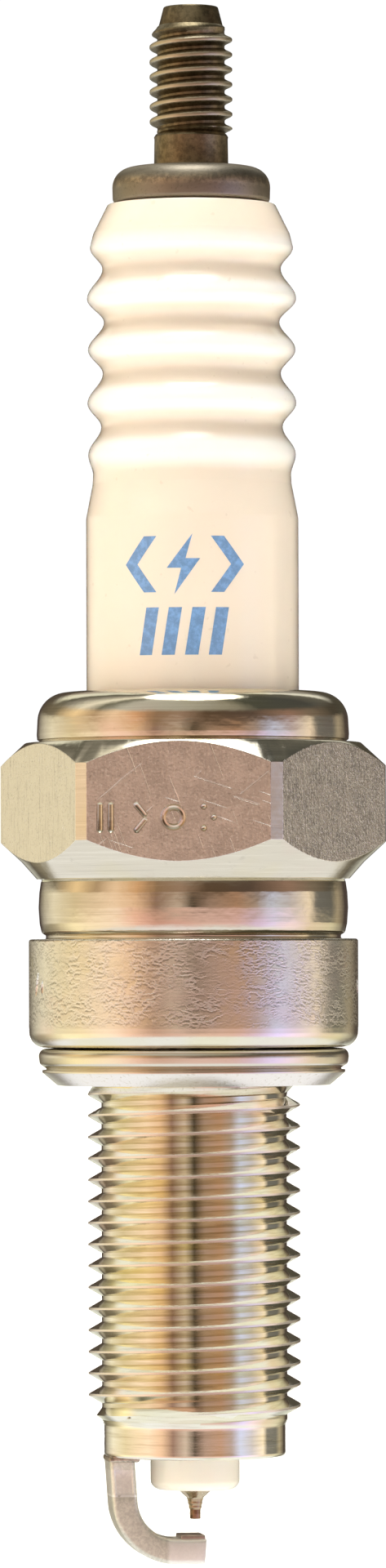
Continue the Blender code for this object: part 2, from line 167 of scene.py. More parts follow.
class StudSettings(bpy.types.PropertyGroup):
    crest_radius: size("Thread crest", 1.945, "Radius at the crest of the stud's thread")
    root_radius: size("Thread root", 1.58, "Radius at the root of the stud's thread")
    neck_radius: size("Neck", 1.74, "Radius of the plain neck")
    flange_radius: size("Flange radius", 3.70, "Radius of the round flange")
    steel: colour("Stud", (0.19, 0.158, 0.098), "Dark oxidised steel of the stud")
    flange_steel: colour("Flange", (0.30, 0.27, 0.22), "Oxidised steel of the flange")


class GasketSettings(bpy.types.PropertyGroup):
    bead_radius: size("Bead radius", 7.25, "Radius of the upper bead")
    foot_radius: size("Foot radius", 6.35, "Radius of the flat lower face")
    plating: colour("Gasket", (0.80, 0.77, 0.68), "Plated sheet steel of the gasket")


class ElectrodeSettings(bpy.types.PropertyGroup):
    spark_gap: size("Spark gap", 0.70, "Distance between the fine wire tip and the pad")
    strap_thickness: size("Strap thickness", 1.18, "Thickness of the ground strap")
    strap_width: size("Strap width", 2.20, "Width of the ground strap")
    bend_radius: size("Bend radius", 2.45, "Radius of the strap's bend at its middle")
    nickel: colour("Ground strap", (0.74, 0.73, 0.65), "Nickel alloy of the ground strap")
    cone: colour("Centre electrode", (0.62, 0.53, 0.38), "Nickel alloy of the centre electrode")
    wire: colour("Fine wire tip", (0.34, 0.22, 0.14), "Noble metal of the tip")


class StageSettings(bpy.types.PropertyGroup):
    camera_azimuth: bpy.props.FloatProperty(
        name="Camera azimuth", description="Direction the camera looks from", default=math.radians(4.8),
        subtype="ANGLE",
    )
    camera_distance: size("Camera distance", 383.0, "Distance from the camera to the plug's axis")
    lens: bpy.props.FloatProperty(
        name="Lens", description="Focal length of the camera in millimetres", default=188.1, min=1.0
    )
    floor: colour("Floor", (0.92, 0.92, 0.91), "Colour of the floor")


# Modelling with Blender's own tools

def edit_all():
    """Opens the active object in edit mode with all of it selected."""
    bpy.ops.object.mode_set(mode="EDIT")
    bpy.ops.mesh.select_all(action="SELECT")


def leave_edit():
    bpy.ops.object.mode_set(mode="OBJECT")


def deselect_all():
    if bpy.context.object and bpy.context.mode != "OBJECT":
        leave_edit()
    bpy.ops.object.select_all(action="DESELECT")


def only(obj):
    deselect_all()
    obj.select_set(True)
    bpy.context.view_layer.objects.active = obj


def rename(obj, name):
    obj.name = name
    obj.data.name = name


def settle():
    bpy.ops.object.transform_apply(location=True, rotation=True, scale=True)


def rounded(corners):
    """The corners (radius, height) as points. A corner (radius, height, fillet, steps) becomes an arc."""
    points = []
    for i, corner in enumerate(corners):
        here = Vector(corner[:2])
        if len(corner) == 2:
            points.append(here)
            continue
        fillet, steps = corner[2:]
        before = (Vector(corners[i - 1][:2]) - here).normalized()
        after = (Vector(corners[(i + 1) % len(corners)][:2]) - here).normalized()
        half = before.angle(after) / 2
        centre = here + (before + after).normalized() * fillet / math.sin(half)
        start = here + before * fillet / math.tan(half) - centre
        end = here + after * fillet / math.tan(half) - centre
        sweep = math.atan2(start.x * end.y - start.y * end.x, start.dot(end))
        points += [centre + Matrix.Rotation(sweep * k / steps, 2) @ start for k in range(steps + 1)]
    return points


def draw_profile(name, points, closed=False):
    """A one-vertex mesh extruded from point to point in the XZ plane, left in edit mode."""
    deselect_all()
    bpy.ops.mesh.primitive_plane_add(size=MM)
    obj = bpy.context.object
    rename(obj, name)
    edit_all()
    bpy.ops.mesh.merge(type="CENTER")
    spots = [Vector((p[0], 0, p[1])) * MM for p in points]
    if closed:
        spots.append(spots[0].copy())
    bpy.ops.transform.translate(value=spots[0])
    for near, far in zip(spots, spots[1:]):
        extrude(far - near)
    return obj


def extrude(way):
    bpy.ops.mesh.extrude_region_move(TRANSFORM_OT_translate={"value": way})


def weld_mesh(threshold=WELD):
    bpy.ops.mesh.select_all(action="SELECT")
    bpy.ops.mesh.remove_doubles(threshold=threshold)
    bpy.ops.mesh.dissolve_degenerate(threshold=threshold)
    bpy.ops.mesh.select_all(action="SELECT")
    bpy.ops.mesh.normals_make_consistent(inside=False)


def turn(name, corners, steps=STEPS, closed=False, seal=True):
    """Spins a profile round the axis. An open shell, which is joined to another later, isn't sealed."""
    obj = draw_profile(name, rounded(corners), closed)
    weld_mesh()
    bpy.ops.mesh.spin(steps=steps, angle=math.tau, center=(0, 0, 0), axis=(0, 0, 1))
    if seal:
        weld_mesh()
    leave_edit()
    return obj


def join(first, *others):
    """Joins the objects and welds the rings where they meet."""
    only(first)
    for other in others:
        other.select_set(True)
    bpy.ops.object.join()
    edit_all()
    weld_mesh(JOIN_WELD)
    leave_edit()
    return first


def apply_modifier(obj, kind, **settings):
    only(obj)
    modifier = obj.modifiers.new(kind.title(), kind)
    for key, value in settings.items():
        setattr(modifier, key, value)
    bpy.ops.object.modifier_apply(modifier=modifier.name)


def cut(obj, other, operation="DIFFERENCE"):
    apply_modifier(obj, "BOOLEAN", operation=operation, solver="EXACT", object=other, use_self=True)
    bpy.data.objects.remove(other, do_unlink=True)
    only(obj)
    edit_all()
    weld_mesh(CUT_WELD)
    leave_edit()


def screw_thread(name, section, pitch, phase, top, bottom, root, fades, steps=STEPS, collar=None):
    """A right-hand thread between two level rings. The section gives (share of a pitch, radius) going up.

    A collar (radius, low, high) lets the root swell to that radius between the two heights.
    """
    first = bottom - (bottom - phase) % pitch - pitch
    turns = math.ceil((top - first) / pitch) + 2
    points = [(radius, first + share * pitch) for share, radius in section]
    points.append((section[0][1], first + (1 + section[0][0]) * pitch))
    obj = draw_profile(name, points)
    leave_edit()
    apply_modifier(
        obj, "SCREW", angle=math.tau, screw_offset=pitch * MM, iterations=turns, steps=steps, render_steps=steps,
        use_merge_vertices=False,
    )
    fade_top, fade_bottom = fades
    neck, low, high = collar or (root, bottom, top)
    for vertex in obj.data.vertices:
        x, y, z = vertex.co / MM
        height = min(top, max(bottom, z))
        rise = min(1.0, (top - height) / fade_top, (height - bottom) / fade_bottom)
        radius = math.hypot(x, y)
        least = root + (neck - root) * min(1.0, max(0.0, (height - low) / (high - low)))
        scale = max(root + (radius - root) * rise, least) / radius
        vertex.co = Vector((x * scale, y * scale, height)) * MM
    return obj


def smooth(obj, degrees):
    only(obj)
    bpy.ops.object.shade_smooth_by_angle(angle=math.radians(degrees))


def hand_over(obj, slot, replaces=True):
    """Rides the finished piece on its body. Unless it is an addition, it stands for the node named as its slot."""
    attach(obj, "gasket" if slot == "gasket" else PLUG)
    if replaces:
        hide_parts(slot)


def coat(obj, *materials):
    obj.data.materials.clear()
    for material in materials:
        obj.data.materials.append(material)


def finish_piece(obj, degrees, material, slot, replaces=True):
    """Smooths the piece up to this angle, gives it its one material and hands it over."""
    smooth(obj, degrees)
    coat(obj, material)
    hand_over(obj, slot, replaces)


# Shader maths

class Value:
    """A socket that takes part in sums: each operator adds a Math node."""

    def __init__(self, tree, socket):
        self.tree = tree
        self.socket = socket

    def math(self, operation, *others):
        node = self.tree.nodes.new("ShaderNodeMath")
        node.operation = operation
        for slot, item in zip(node.inputs, (self, *others)):
            if isinstance(item, Value):
                self.tree.links.new(item.socket, slot)
            else:
                slot.default_value = item
        return Value(self.tree, node.outputs[0])

    def __add__(self, other):
        return self.math("ADD", other)

    def __sub__(self, other):
        return self.math("SUBTRACT", other)

    def __rsub__(self, other):
        return (self * -1).math("ADD", other)

    def __mul__(self, other):
        return self.math("MULTIPLY", other)

    def __truediv__(self, other):
        return self.math("DIVIDE", other)

    def __abs__(self):
        return self.math("ABSOLUTE")

    __radd__ = __add__
    __rmul__ = __mul__

    def top(self, other):
        return self.math("MAXIMUM", other)

    def clip(self):
        return self.top(0.0).math("MINIMUM", 1.0)


class Nodes:
    """Adds nodes to one tree."""

    def __init__(self, tree):
        self.tree = tree
        self.tree.nodes.clear()

    def node(self, kind, output=0, settings=None, inputs=None):
        """Adds a node. Settings are set first, then sockets get values or links."""
        node = self.tree.nodes.new(kind)
        for key, value in (settings or {}).items():
            if key == "stops":
                self.set_stops(node.color_ramp, value)
            else:
                setattr(node, key, value)
        for key, value in (inputs or {}).items():
            if isinstance(value, Value):
                self.tree.links.new(value.socket, node.inputs[key])
            else:
                node.inputs[key].default_value = value
        return Value(self.tree, node.outputs[output]) if node.outputs else None

    @staticmethod
    def set_stops(ramp, stops):
        while len(ramp.elements) < len(stops):
            ramp.elements.new(1.0)
        for element, (position, tone) in zip(ramp.elements, stops):
            element.position = position
            element.color = (*tone, 1.0)

    def axes(self, place):
        """The three coordinates of a place."""
        return [self.node("ShaderNodeSeparateXYZ", axis, {}, {0: place}) for axis in range(3)]

    def step(self, value, low, high):
        """0 below low and 1 above high, with a soft change between. low may be the larger one."""
        inputs = {"Value": value, "From Min": low, "From Max": high}
        return self.node("ShaderNodeMapRange", "Result", {"interpolation_type": "SMOOTHSTEP"}, inputs)

    def band(self, value, low, high, soft):
        """1 between low and high."""
        return self.step(value, low - soft, low + soft) * self.step(value, high + soft, high - soft)

    def mix(self, amount, first, second):
        """A colour between two colours."""
        inputs = {0: amount}
        for slot, tone in ((6, first), (7, second)):
            inputs[slot] = tone if isinstance(tone, Value) else (*tone, 1.0)
        return self.node("ShaderNodeMix", 2, {"data_type": "RGBA"}, inputs)

    def coats(self, base, *layers):
        """A colour with each (amount, colour) laid over it in turn."""
        for amount, tone in layers:
            base = self.mix(amount, base, tone)
        return base


class Finish(Nodes):
    """A material whose nodes read the piece's own coordinates, in millimetres."""

    def __init__(self, name, **constants):
        self.material = bpy.data.materials.new(name)
        self.material.use_nodes = True
        super().__init__(self.material.node_tree)
        constants = {key.replace("_", " "): value for key, value in constants.items()}
        shader = self.node("ShaderNodeBsdfPrincipled", 0, {}, constants)
        self.node("ShaderNodeOutputMaterial", 0, {}, {0: shader})
        self.shader = shader.socket.node
        where = self.node("ShaderNodeTexCoord", "Object")
        self.mm = self.node("ShaderNodeVectorMath", 0, {"operation": "SCALE"}, {0: where, "Scale": 1 / MM})
        self.x, self.y, self.z = self.axes(self.mm)

    def noise(self, per_mm, detail=2.0, stretch=(1, 1, 1), rough=0.5, shift=0.0, lift=0.0):
        """Noise with this many features to the millimetre, raised by lift millimetres."""
        spot = (shift, shift, shift - lift * stretch[2])
        place = self.node("ShaderNodeMapping", 0, {}, {0: self.mm, "Location": spot, "Scale": stretch})
        inputs = {"Vector": place, "Scale": per_mm, "Detail": detail, "Roughness": rough}
        return self.node("ShaderNodeTexNoise", "Fac", {}, inputs)

    def radius(self):
        return (self.x * self.x + self.y * self.y).math("SQRT")

    def bump(self, height, depth_mm, before=None):
        """Relief as deep as this where height goes from 0 to 1."""
        inputs = {"Strength": 1.0, "Distance": depth_mm * MM, "Height": height}
        if before is not None:
            inputs["Normal"] = before
        return self.node("ShaderNodeBump", 0, {}, inputs)

    def feed(self, **sockets):
        """Links what varies to the shader's sockets and gives the material."""
        for key, value in sockets.items():
            self.tree.links.new(value.socket, self.shader.inputs[key.replace("_", " ")])
        return self.material


def scaled(tone, factor):
    return tuple(min(1.0, c * factor) for c in tone)


# Finishes of this plug

def glaze_finish(tone, nose_tone):
    """Glossy cream glaze with a painted white glow on the outer parts of the ribs, and a finer, whiter, unglazed
    nose.
    """
    f = Finish(
        "glazed_alumina", Specular_IOR_Level=0.6, Coat_Weight=0.7, Coat_Roughness=0.03, Subsurface_Weight=0.12,
        Subsurface_Radius=(0.9 * MM, 0.6 * MM, 0.35 * MM), Subsurface_Scale=1.0,
    )
    clouds = f.noise(0.18, 3.0)
    # Painted highlight: the ribs are painted near white where they stand furthest out
    painted_rib_glow = f.step(f.radius() + (clouds - 0.5) * 0.12, 4.42, 4.80) * f.band(f.z, 28.9, 39.7, 0.45)
    on_nose = f.step(f.z, -10.0, -12.0)
    base = f.coats(
        tone,
        (f.step(clouds, 0.35, 0.7) * 0.5, scaled(tone, 0.93)),
        (painted_rib_glow, (0.985, 0.955, 0.915)),
        (f.step(f.noise(2.6, 1.0, shift=7.0), 0.73, 0.80) * 0.16, (0.42, 0.33, 0.22)),
        (on_nose, nose_tone),
    )
    wave = f.bump(f.noise(0.5, 2.0), 0.012)
    return f.feed(
        Base_Color=base, Roughness=0.07 + on_nose * 0.30 + f.noise(9.0, 2.0) * 0.05,
        Normal=f.bump(f.noise(3.0, 3.0, RINGS), 0.0016, wave),
    )


def ink_finish(tone):
    f = Finish("printed_ink", Coat_Weight=0.3, Coat_Roughness=0.05)
    worn = f.step(f.noise(3.2, 4.0, rough=0.7), 0.30, 0.62)
    return f.feed(
        Base_Color=f.mix(worn, scaled(tone, 1.30), scaled(tone, 0.92)), Roughness=0.16 + worn * 0.10,
        Normal=f.bump(f.noise(7.0, 2.0), 0.002),
    )


def plating_tints(f, tone):
    """Zinc plating whose thin film turns faintly gold, rose or violet from place to place."""
    red, green, blue = tone
    drift = f.noise(0.22, 2.0, (1, 1, 1.6), shift=3.0)
    gold = f.mix(f.step(drift, 0.30, 0.50), (red, green * 0.985, blue * 0.86), tone)
    return f.mix(f.step(drift, 0.54, 0.72) * 0.8, gold, (min(1, red * 1.03), green * 0.90, blue * 0.94))


def bright_plating(tone):
    """Rolled and polished plating of the lip, the chamfers and the buckle zone."""
    f = Finish("bright_plating", Metallic=1.0)
    lines = f.noise(5.0, 4.0, (0.03, 0.03, 1.6), 0.65)
    soil = f.step(f.noise(1.4, 4.0, rough=0.7, shift=5.0), 0.60, 0.75)
    base = f.coats(
        plating_tints(f, tone),
        (f.step(lines, 0.50, 0.66) * 0.30, (0.98, 0.95, 0.84)),
        (f.step(lines, 0.44, 0.30) * 0.25, scaled(tone, 0.5)),
        (soil * 0.25, scaled(tone, 0.55)),
    )
    dents = f.bump(f.noise(0.9, 2.0, (1, 1, 1.7), shift=9.0), 0.014)
    relief = lines * 0.7 + f.noise(7.0, 3.0) * 0.3
    return f.feed(Base_Color=base, Roughness=0.06 + lines * 0.08 + soil * 0.12, Normal=f.bump(relief, 0.0030, dents))


def scratches(f, turns, narrow, low):
    """1 on thin straight scratches, one set of them for each turn from level."""
    marks = None
    for turned, shift in turns:
        slant = f.node("ShaderNodeMapping", 0, {}, {0: f.mm, "Rotation": (0, turned, 0), "Location": (shift, 0, 0)})
        place = f.node("ShaderNodeMapping", 0, {}, {0: slant, "Scale": (narrow, narrow, 0.35)})
        lines = f.node("ShaderNodeTexNoise", "Fac", {}, {"Vector": place, "Scale": 1.0, "Detail": 0.0})
        line = f.step(lines, low, low + 0.035)
        marks = line if marks is None else marks.top(line)
    return marks


def flat_finish(tone):
    """Pressed flats of the hexagon: matt and speckled, with drag lines on the side flats and a few scratches, a
    painted pale reflection on the left side flats and a painted grey shade on the right ones.
    """
    f = Finish("hexagon_flats", Metallic=1.0)
    speckle = f.noise(8.0, 3.0, rough=0.7)
    blotch = f.noise(0.9, 4.0, rough=0.65, shift=2.0)
    drag = f.noise(7.0, 3.0, (1.0, 1.0, 0.10), 0.6)
    # Masks of the left and right side flats: they carry the painted reflection and the painted shade, the drag lines
    # and the right flats' scratches
    left, right = f.step(f.x, -4.45, -4.65), f.step(f.x, 4.45, 4.65)
    few = scratches(f, ((0.35, 1.0), (-0.9, 4.0), (1.25, 8.0)), 11.0, 0.775)
    many = scratches(f, ((0.5, 2.0), (-0.7, 5.0), (1.05, 9.0), (-0.25, 3.0)), 9.0, 0.625)
    marks = few.top(many * right)
    base = f.coats(
        scaled(tone, 1.08),
        (f.step(blotch, 0.35, 0.65), scaled(tone, 0.88)),
        # Painted reflection on the left side flats, then painted shade on the right ones, blotched
        (left * 0.85, (0.99, 0.97, 0.86)),
        (right * (0.55 + f.step(blotch, 0.42, 0.60) * 0.35), (0.46, 0.45, 0.44)),
        (f.step(drag, 0.48, 0.30) * (left + right).clip() * 0.35, scaled(tone, 0.50)),
        (f.step(speckle, 0.55, 0.64) * 0.80, (1.0, 0.98, 0.92)),
        (f.step(speckle, 0.43, 0.30) * 0.50, scaled(tone, 0.42)),
        (marks * 0.75, (0.99, 0.97, 0.93)),
    )
    grain = f.bump(speckle * 0.6 + drag * 0.4, 0.024)
    return f.feed(
        Base_Color=base, Roughness=0.27 + speckle * 0.14 - marks * 0.10, Normal=f.bump(1 - marks, 0.008, grain)
    )


def crinkled_plating(tone):
    """Satin plating of the flange, crinkled in short level folds with a painted highlight on each fold and a painted
    shadow under it, with a plain rolled band at its foot.
    """
    f = Finish("crinkled_plating", Metallic=1.0)
    patches = f.step(f.noise(0.8, 2.0, shift=4.0), 0.36, 0.56) * 0.75 + 0.25
    # Each fold is painted with a highlight, and with a painted shadow a tenth of a millimetre below it
    fold_and_painted_highlight, shade = (
        (1 - abs(f.noise(1.55, 3.0, (1.0, 1.0, 2.5), 0.62, lift=lift) - 0.5) * 13.0).clip() * patches
        for lift in (0.0, -0.10)
    )
    fine = f.noise(7.0, 3.0, (1.0, 1.0, 2.0))
    lines = f.noise(3.6, 2.0, FINE_RINGS)
    folded = f.step(f.z, 2.60, 3.05)
    base = f.coats(
        plating_tints(f, (tone[0] * 1.16, tone[1] * 1.20, tone[2] * 1.26)),
        # Painted shadow under each fold, then a painted highlight on the fold
        (shade * folded * 0.75, scaled(tone, 0.30)),
        (fold_and_painted_highlight * folded * 0.95, (1.0, 1.0, 0.97)),
        (f.step(fine, 0.42, 0.27) * folded * 0.30, scaled(tone, 0.55)),
        (f.step(lines, 0.52, 0.64) * 0.25, (0.98, 0.95, 0.88)),
    )
    relief = (fold_and_painted_highlight * 0.8 + fine * 0.2) * folded + lines * 0.12
    return f.feed(
        Base_Color=base, Roughness=0.15 + folded * 0.07 + fine * 0.05 + fold_and_painted_highlight * 0.10, Normal=f.bump(relief, 0.0065)
    )


def thread_finish():
    """Rolled thread: bright flanks with drawn lines, rubbed crests painted pale as a painted highlight, and painted
    shade in the roots.
    """
    f = Finish("rolled_thread", Metallic=1.0)
    radius = f.radius()
    along = f.noise(6.0, 3.0, RINGS, 0.6)
    pits = f.noise(6.0, 3.0, rough=0.7, shift=3.0)
    threaded = f.step(f.z, -15.75, -15.5)
    # The crests are rubbed, which makes them rougher, and painted pale as a painted highlight
    crest = f.step(radius + (pits - 0.5) * 0.08, 4.87, 4.93) * threaded
    # Painted shade: the roots are painted darker
    root = f.step(radius, 4.50, 4.36) * threaded * f.step(f.z, -0.1, -0.35)
    base = f.coats(
        plating_tints(f, (0.93, 0.92, 0.82)),
        (root * 0.35, (0.62, 0.56, 0.40)),
        (f.step(along, 0.47, 0.34) * 0.35, (0.52, 0.46, 0.34)),
        (f.step(along, 0.53, 0.66) * 0.60, (1.0, 0.99, 0.93)),
        (crest * 0.80, (0.98, 0.92, 0.89)),
    )
    relief = along * 0.7 + pits * 0.3 * (1 + crest * 2.0)
    return f.feed(Base_Color=base, Roughness=0.035 + along * 0.05 + crest * 0.24, Normal=f.bump(relief, 0.0035))


def bore_finish():
    f = Finish("bore_steel", Metallic=1.0)
    drawn = f.noise(4.0, 3.0, RINGS)
    base = f.mix(drawn, (0.34, 0.32, 0.28), (0.52, 0.49, 0.42))
    return f.feed(Base_Color=base, Roughness=0.35 + drawn * 0.2, Normal=f.bump(drawn, 0.006))


def stud_finish(tone, flange_tone):
    """Dark oxidised steel, browner on the stud, greyer and mottled on its flange, with a painted highlight on the
    crests.
    """
    f = Finish("oxidised_steel", Metallic=1.0)
    mottle = f.noise(2.6, 5.0, rough=0.72)
    fine = f.noise(8.0, 3.0, rough=0.6)
    # Painted highlight: the crests of the thread are painted pale
    crest = f.step(f.radius() + (fine - 0.5) * 0.12, 1.84, 1.93) * f.band(f.z, 44.3, 49.8, 0.1)
    on_flange = f.step(f.z, 43.05, 42.9)
    stud = f.mix(f.step(mottle, 0.35, 0.65), scaled(tone, 0.75), scaled(tone, 1.45))
    flange = f.coats(
        flange_tone,
        (f.step(mottle, 0.42, 0.60) * f.band(f.z, 41.95, 42.35, 0.16), (0.52, 0.45, 0.34)),
        (f.step(fine, 0.45, 0.28) * 0.5, scaled(flange_tone, 0.5)),
    )
    return f.feed(
        Base_Color=f.coats(stud, (crest * 0.80, (0.68, 0.63, 0.49)), (on_flange, flange)),
        Roughness=0.30 + mottle * 0.14 + on_flange * 0.06, Normal=f.bump(mottle * 0.5 + fine * 0.5, 0.014),
    )


def gasket_finish(tone):
    """Plated sheet rolled into a bead, with faint drawn lines and a rosy edge."""
    f = Finish("gasket_plating", Metallic=1.0)
    lines = f.noise(5.0, 3.0, RINGS, 0.6)
    grain = f.noise(6.0, 3.0, rough=0.65)
    rosy = f.step(f.z, 0.75, 0.45) * f.step(f.noise(0.35, 2.0), 0.40, 0.62)
    base = f.coats(
        plating_tints(f, tone),
        (rosy * 0.5, (tone[0], tone[1] * 0.86, tone[2] * 0.92)),
        (f.step(grain, 0.36, 0.24) * 0.4, scaled(tone, 0.6)),
        (f.step(f.z, 0.70, 0.55) * f.step(grain, 0.30, 0.45) * 0.75, (0.99, 0.97, 0.96)),
    )
    relief = f.bump(lines * 0.5 + grain * 0.5, 0.006)
    return f.feed(Base_Color=base, Roughness=0.15 + lines * 0.08 + grain * 0.08, Normal=relief)


def nickel_finish(tone):
    """Drawn nickel alloy of the strap: fine lines, a paler worked end and a painted highlight along the lower edge of
    its grip marks.
    """
    f = Finish("strap_nickel", Metallic=0.68)
    grain = f.noise(7.0, 4.0, rough=0.65)
    drawn = f.noise(8.0, 3.0, (0.2, 1.0, 0.2), shift=4.0)
    worked = f.step(f.x, -1.25, -1.0) * f.step(f.z, -20.6, -20.9)
    # Painted highlight along the lower edge of the grip marks
    painted_grip_edge_highlight = f.band(f.z, -19.10, -19.00, 0.02) * f.step(f.noise(2.5, 2.0, shift=6.0), 0.32, 0.42)
    base = f.coats(
        scaled(tone, 0.84),
        (f.step(grain, 0.35, 0.7), scaled(tone, 1.08)),
        (worked * 0.75, (0.99, 0.97, 0.95)),
        (f.band(f.z, -19.02, -17.85, 0.03) * f.step(f.x, -2.6, -2.8) * 0.35, (0.99, 0.97, 0.96)),
        (painted_grip_edge_highlight * 0.9, (1.0, 0.99, 0.97)),
    )
    relief = f.bump(grain * 0.5 + drawn * 0.5, 0.008)
    return f.feed(Base_Color=base, Roughness=0.28 + grain * 0.14 + worked * 0.05, Normal=relief)


def weld_finish(tone):
    f = Finish("strap_weld", Metallic=1.0)
    lumps = f.noise(3.2, 4.0, rough=0.6)
    base = f.mix(f.step(lumps, 0.35, 0.62), scaled(tone, 0.45), scaled(tone, 1.15))
    return f.feed(Base_Color=base, Roughness=0.26 + lumps * 0.22, Normal=f.bump(lumps, 0.05))


def cone_finish(tone):
    """Turned nickel with tool rings."""
    f = Finish("turned_nickel", Metallic=1.0)
    rings = f.noise(9.0, 2.0, FINE_RINGS)
    grain = f.noise(9.0, 3.0)
    return f.feed(
        Base_Color=f.mix(rings, scaled(tone, 0.82), scaled(tone, 1.18)), Roughness=0.20 + grain * 0.12,
        Normal=f.bump(rings * 0.6 + grain * 0.4, 0.008),
    )


def tip_finish(name, tone):
    f = Finish(name, Metallic=1.0)
    grain = f.noise(8.0, 3.0, rough=0.6)
    rings = f.noise(7.0, 1.0, RINGS, shift=2.0)
    return f.feed(
        Base_Color=f.mix(grain, scaled(tone, 0.70), scaled(tone, 1.40)), Roughness=0.24 + grain * 0.14,
        Normal=f.bump(grain * 0.5 + rings * 0.5, 0.010),
    )


def inner_finish(name, tone, metallic, rough, relief):
    """Finish of a piece that lies inside: a grain in its colour, its roughness and its relief."""
    f = Finish(name, Metallic=metallic)
    grain = f.noise(5.0, 4.0, rough=0.7)
    base = f.mix(grain, scaled(tone, 0.75), scaled(tone, 1.2))
    return f.feed(Base_Color=base, Roughness=rough - 0.08 + grain * 0.16, Normal=f.bump(grain, relief))


# Pieces

class InsulatorOperator(bpy.types.Operator):
    """Turn the ribbed insulator with its nose and its bore"""

    bl_idname = "spark_plug.insulator"
    bl_label = "Insulator"

    def execute(self, context):
        s = context.scene.plug_insulator
        barrel, nose = s.barrel_radius / MM, s.nose_radius / MM
        top, end = high_mm("insulator").z, low_mm("insulator").z
        crests = ((39.2, 4.76), (36.8, 4.90), (34.4, 4.86), (31.9, 4.89), (29.5, 4.86))
        grooves = ((38.2, 4.18), (35.7, 4.11), (33.3, 4.17), (30.8, 4.25), (28.5, 4.63))
        wave = [spot for pair in zip(crests, grooves) for spot in pair]
        outline = [(1.55, top), (3.93, top, 0.10, 4), (4.60, 39.85, 0.6, 4)]
        for (high_z, high_r), (low_z, low_r) in zip(wave, wave[1:]):
            for share in (step / 10 for step in range(10)):
                swing = (1 - math.cos(math.pi * share)) / 2
                outline.append((high_r + (low_r - high_r) * swing, high_z + (low_z - high_z) * share))
        outline += [
            (4.64, 28.45), (4.66, 28.1, 0.5, 3), (barrel, 26.5, 1.2, 5), (barrel, 13.9), (5.95, 13.6), (5.95, 5.36),
            (3.64, 3.05), (3.64, -4.55), (2.66, -5.53), (nose, -16.6), (nose, end, 0.46, 8), (1.10, end, 0.06, 2),
            (1.10, -1.07), (1.55, -0.62),
        ]
        obj = turn("insulator_body", outline, INSULATOR_STEPS, closed=True)
        finish_piece(obj, 28, glaze_finish(s.glaze, s.nose), "insulator")
        return {"FINISHED"}


def wrap_on_barrel(obj, radius, sink, proud):
    """Bends a flat mark, drawn in XZ with its back at y = 0 and its face at y = -1, onto the barrel."""
    for vertex in obj.data.vertices:
        x, y, z = vertex.co
        reach = radius + (proud if y < -0.5 * MM else -sink)
        angle = x / radius
        vertex.co = Vector((reach * math.sin(angle), -reach * math.cos(angle), z))


def flat_mark(name, corners):
    """A flat sign in the XZ plane, one millimetre deep and cut into upright strips so that it can be bent."""
    deselect_all()
    bpy.ops.mesh.primitive_circle_add(vertices=len(corners), radius=MM, fill_type="NGON")
    obj = bpy.context.object
    rename(obj, name)
    for vertex, (x, z) in zip(obj.data.vertices, corners):
        vertex.co = Vector((x, 0, z)) * MM
    edit_all()
    extrude((0, -MM, 0))
    bpy.ops.mesh.select_all(action="SELECT")
    bpy.ops.mesh.normals_make_consistent(inside=False)
    left, right = min(x for x, z in corners), max(x for x, z in corners)
    strips = max(2, math.ceil((right - left) / 0.22))
    for k in range(1, strips):
        bpy.ops.mesh.select_all(action="SELECT")
        spot = (left + (right - left) * k / strips) * MM
        bpy.ops.mesh.bisect(plane_co=(spot, 0, 0), plane_no=(1, 0, 0))
    leave_edit()
    return obj


def slanted_bar(centre, width, height, slant, middle):
    half, lean = width / 2, slant * height / 2
    low, high = middle - height / 2, middle + height / 2
    foot, head = centre - lean, centre + lean
    return [(foot - half, low), (foot + half, low), (head + half, high), (head - half, high)]


def chevron(centre, width, height, stroke, middle, way):
    """An angle bracket that points left or right."""
    tip, back = centre - way * width / 2, centre + way * width / 2
    low, high = middle - height / 2, middle + height / 2
    inner, outer = back - way * stroke * 0.2, back + way * stroke
    notch = tip + way * stroke * 1.25
    return [(tip, middle), (inner, high), (outer, high), (notch, middle), (outer, low), (inner, low)]


class PrintedMarkOperator(bpy.types.Operator):
    """Print a plain bolt sign with brackets and slanted bars on the barrel"""

    bl_idname = "spark_plug.printed_mark"
    bl_label = "Printed mark"

    def execute(self, context):
        s = context.scene.plug_insulator
        bolt = [(0.42, 1.40), (-0.78, -0.18), (-0.10, -0.18), (-0.42, -1.40), (0.78, 0.26), (0.10, 0.26)]
        shapes = [[(x, z + PRINT_UPPER) for x, z in bolt]]
        shapes += [chevron(side * 2.35, 1.1, 2.6, 0.52, PRINT_UPPER, -side) for side in (-1, 1)]
        shapes += [slanted_bar(x, 0.62, 2.2, 0.16, PRINT_LOWER) for x in (-1.65, -0.55, 0.55, 1.65)]
        obj, *others = [flat_mark(f"print_{n}", shape) for n, shape in enumerate(shapes)]
        only(obj)
        for mark in others:
            mark.select_set(True)
        bpy.ops.object.join()
        rename(obj, "printed_mark")
        wrap_on_barrel(obj, s.barrel_radius, 0.03 * MM, 0.010 * MM)
        only(obj)
        edit_all()
        weld_mesh()
        leave_edit()
        finish_piece(obj, 30, ink_finish(s.print_ink), "insulator", replaces=False)
        return {"FINISHED"}


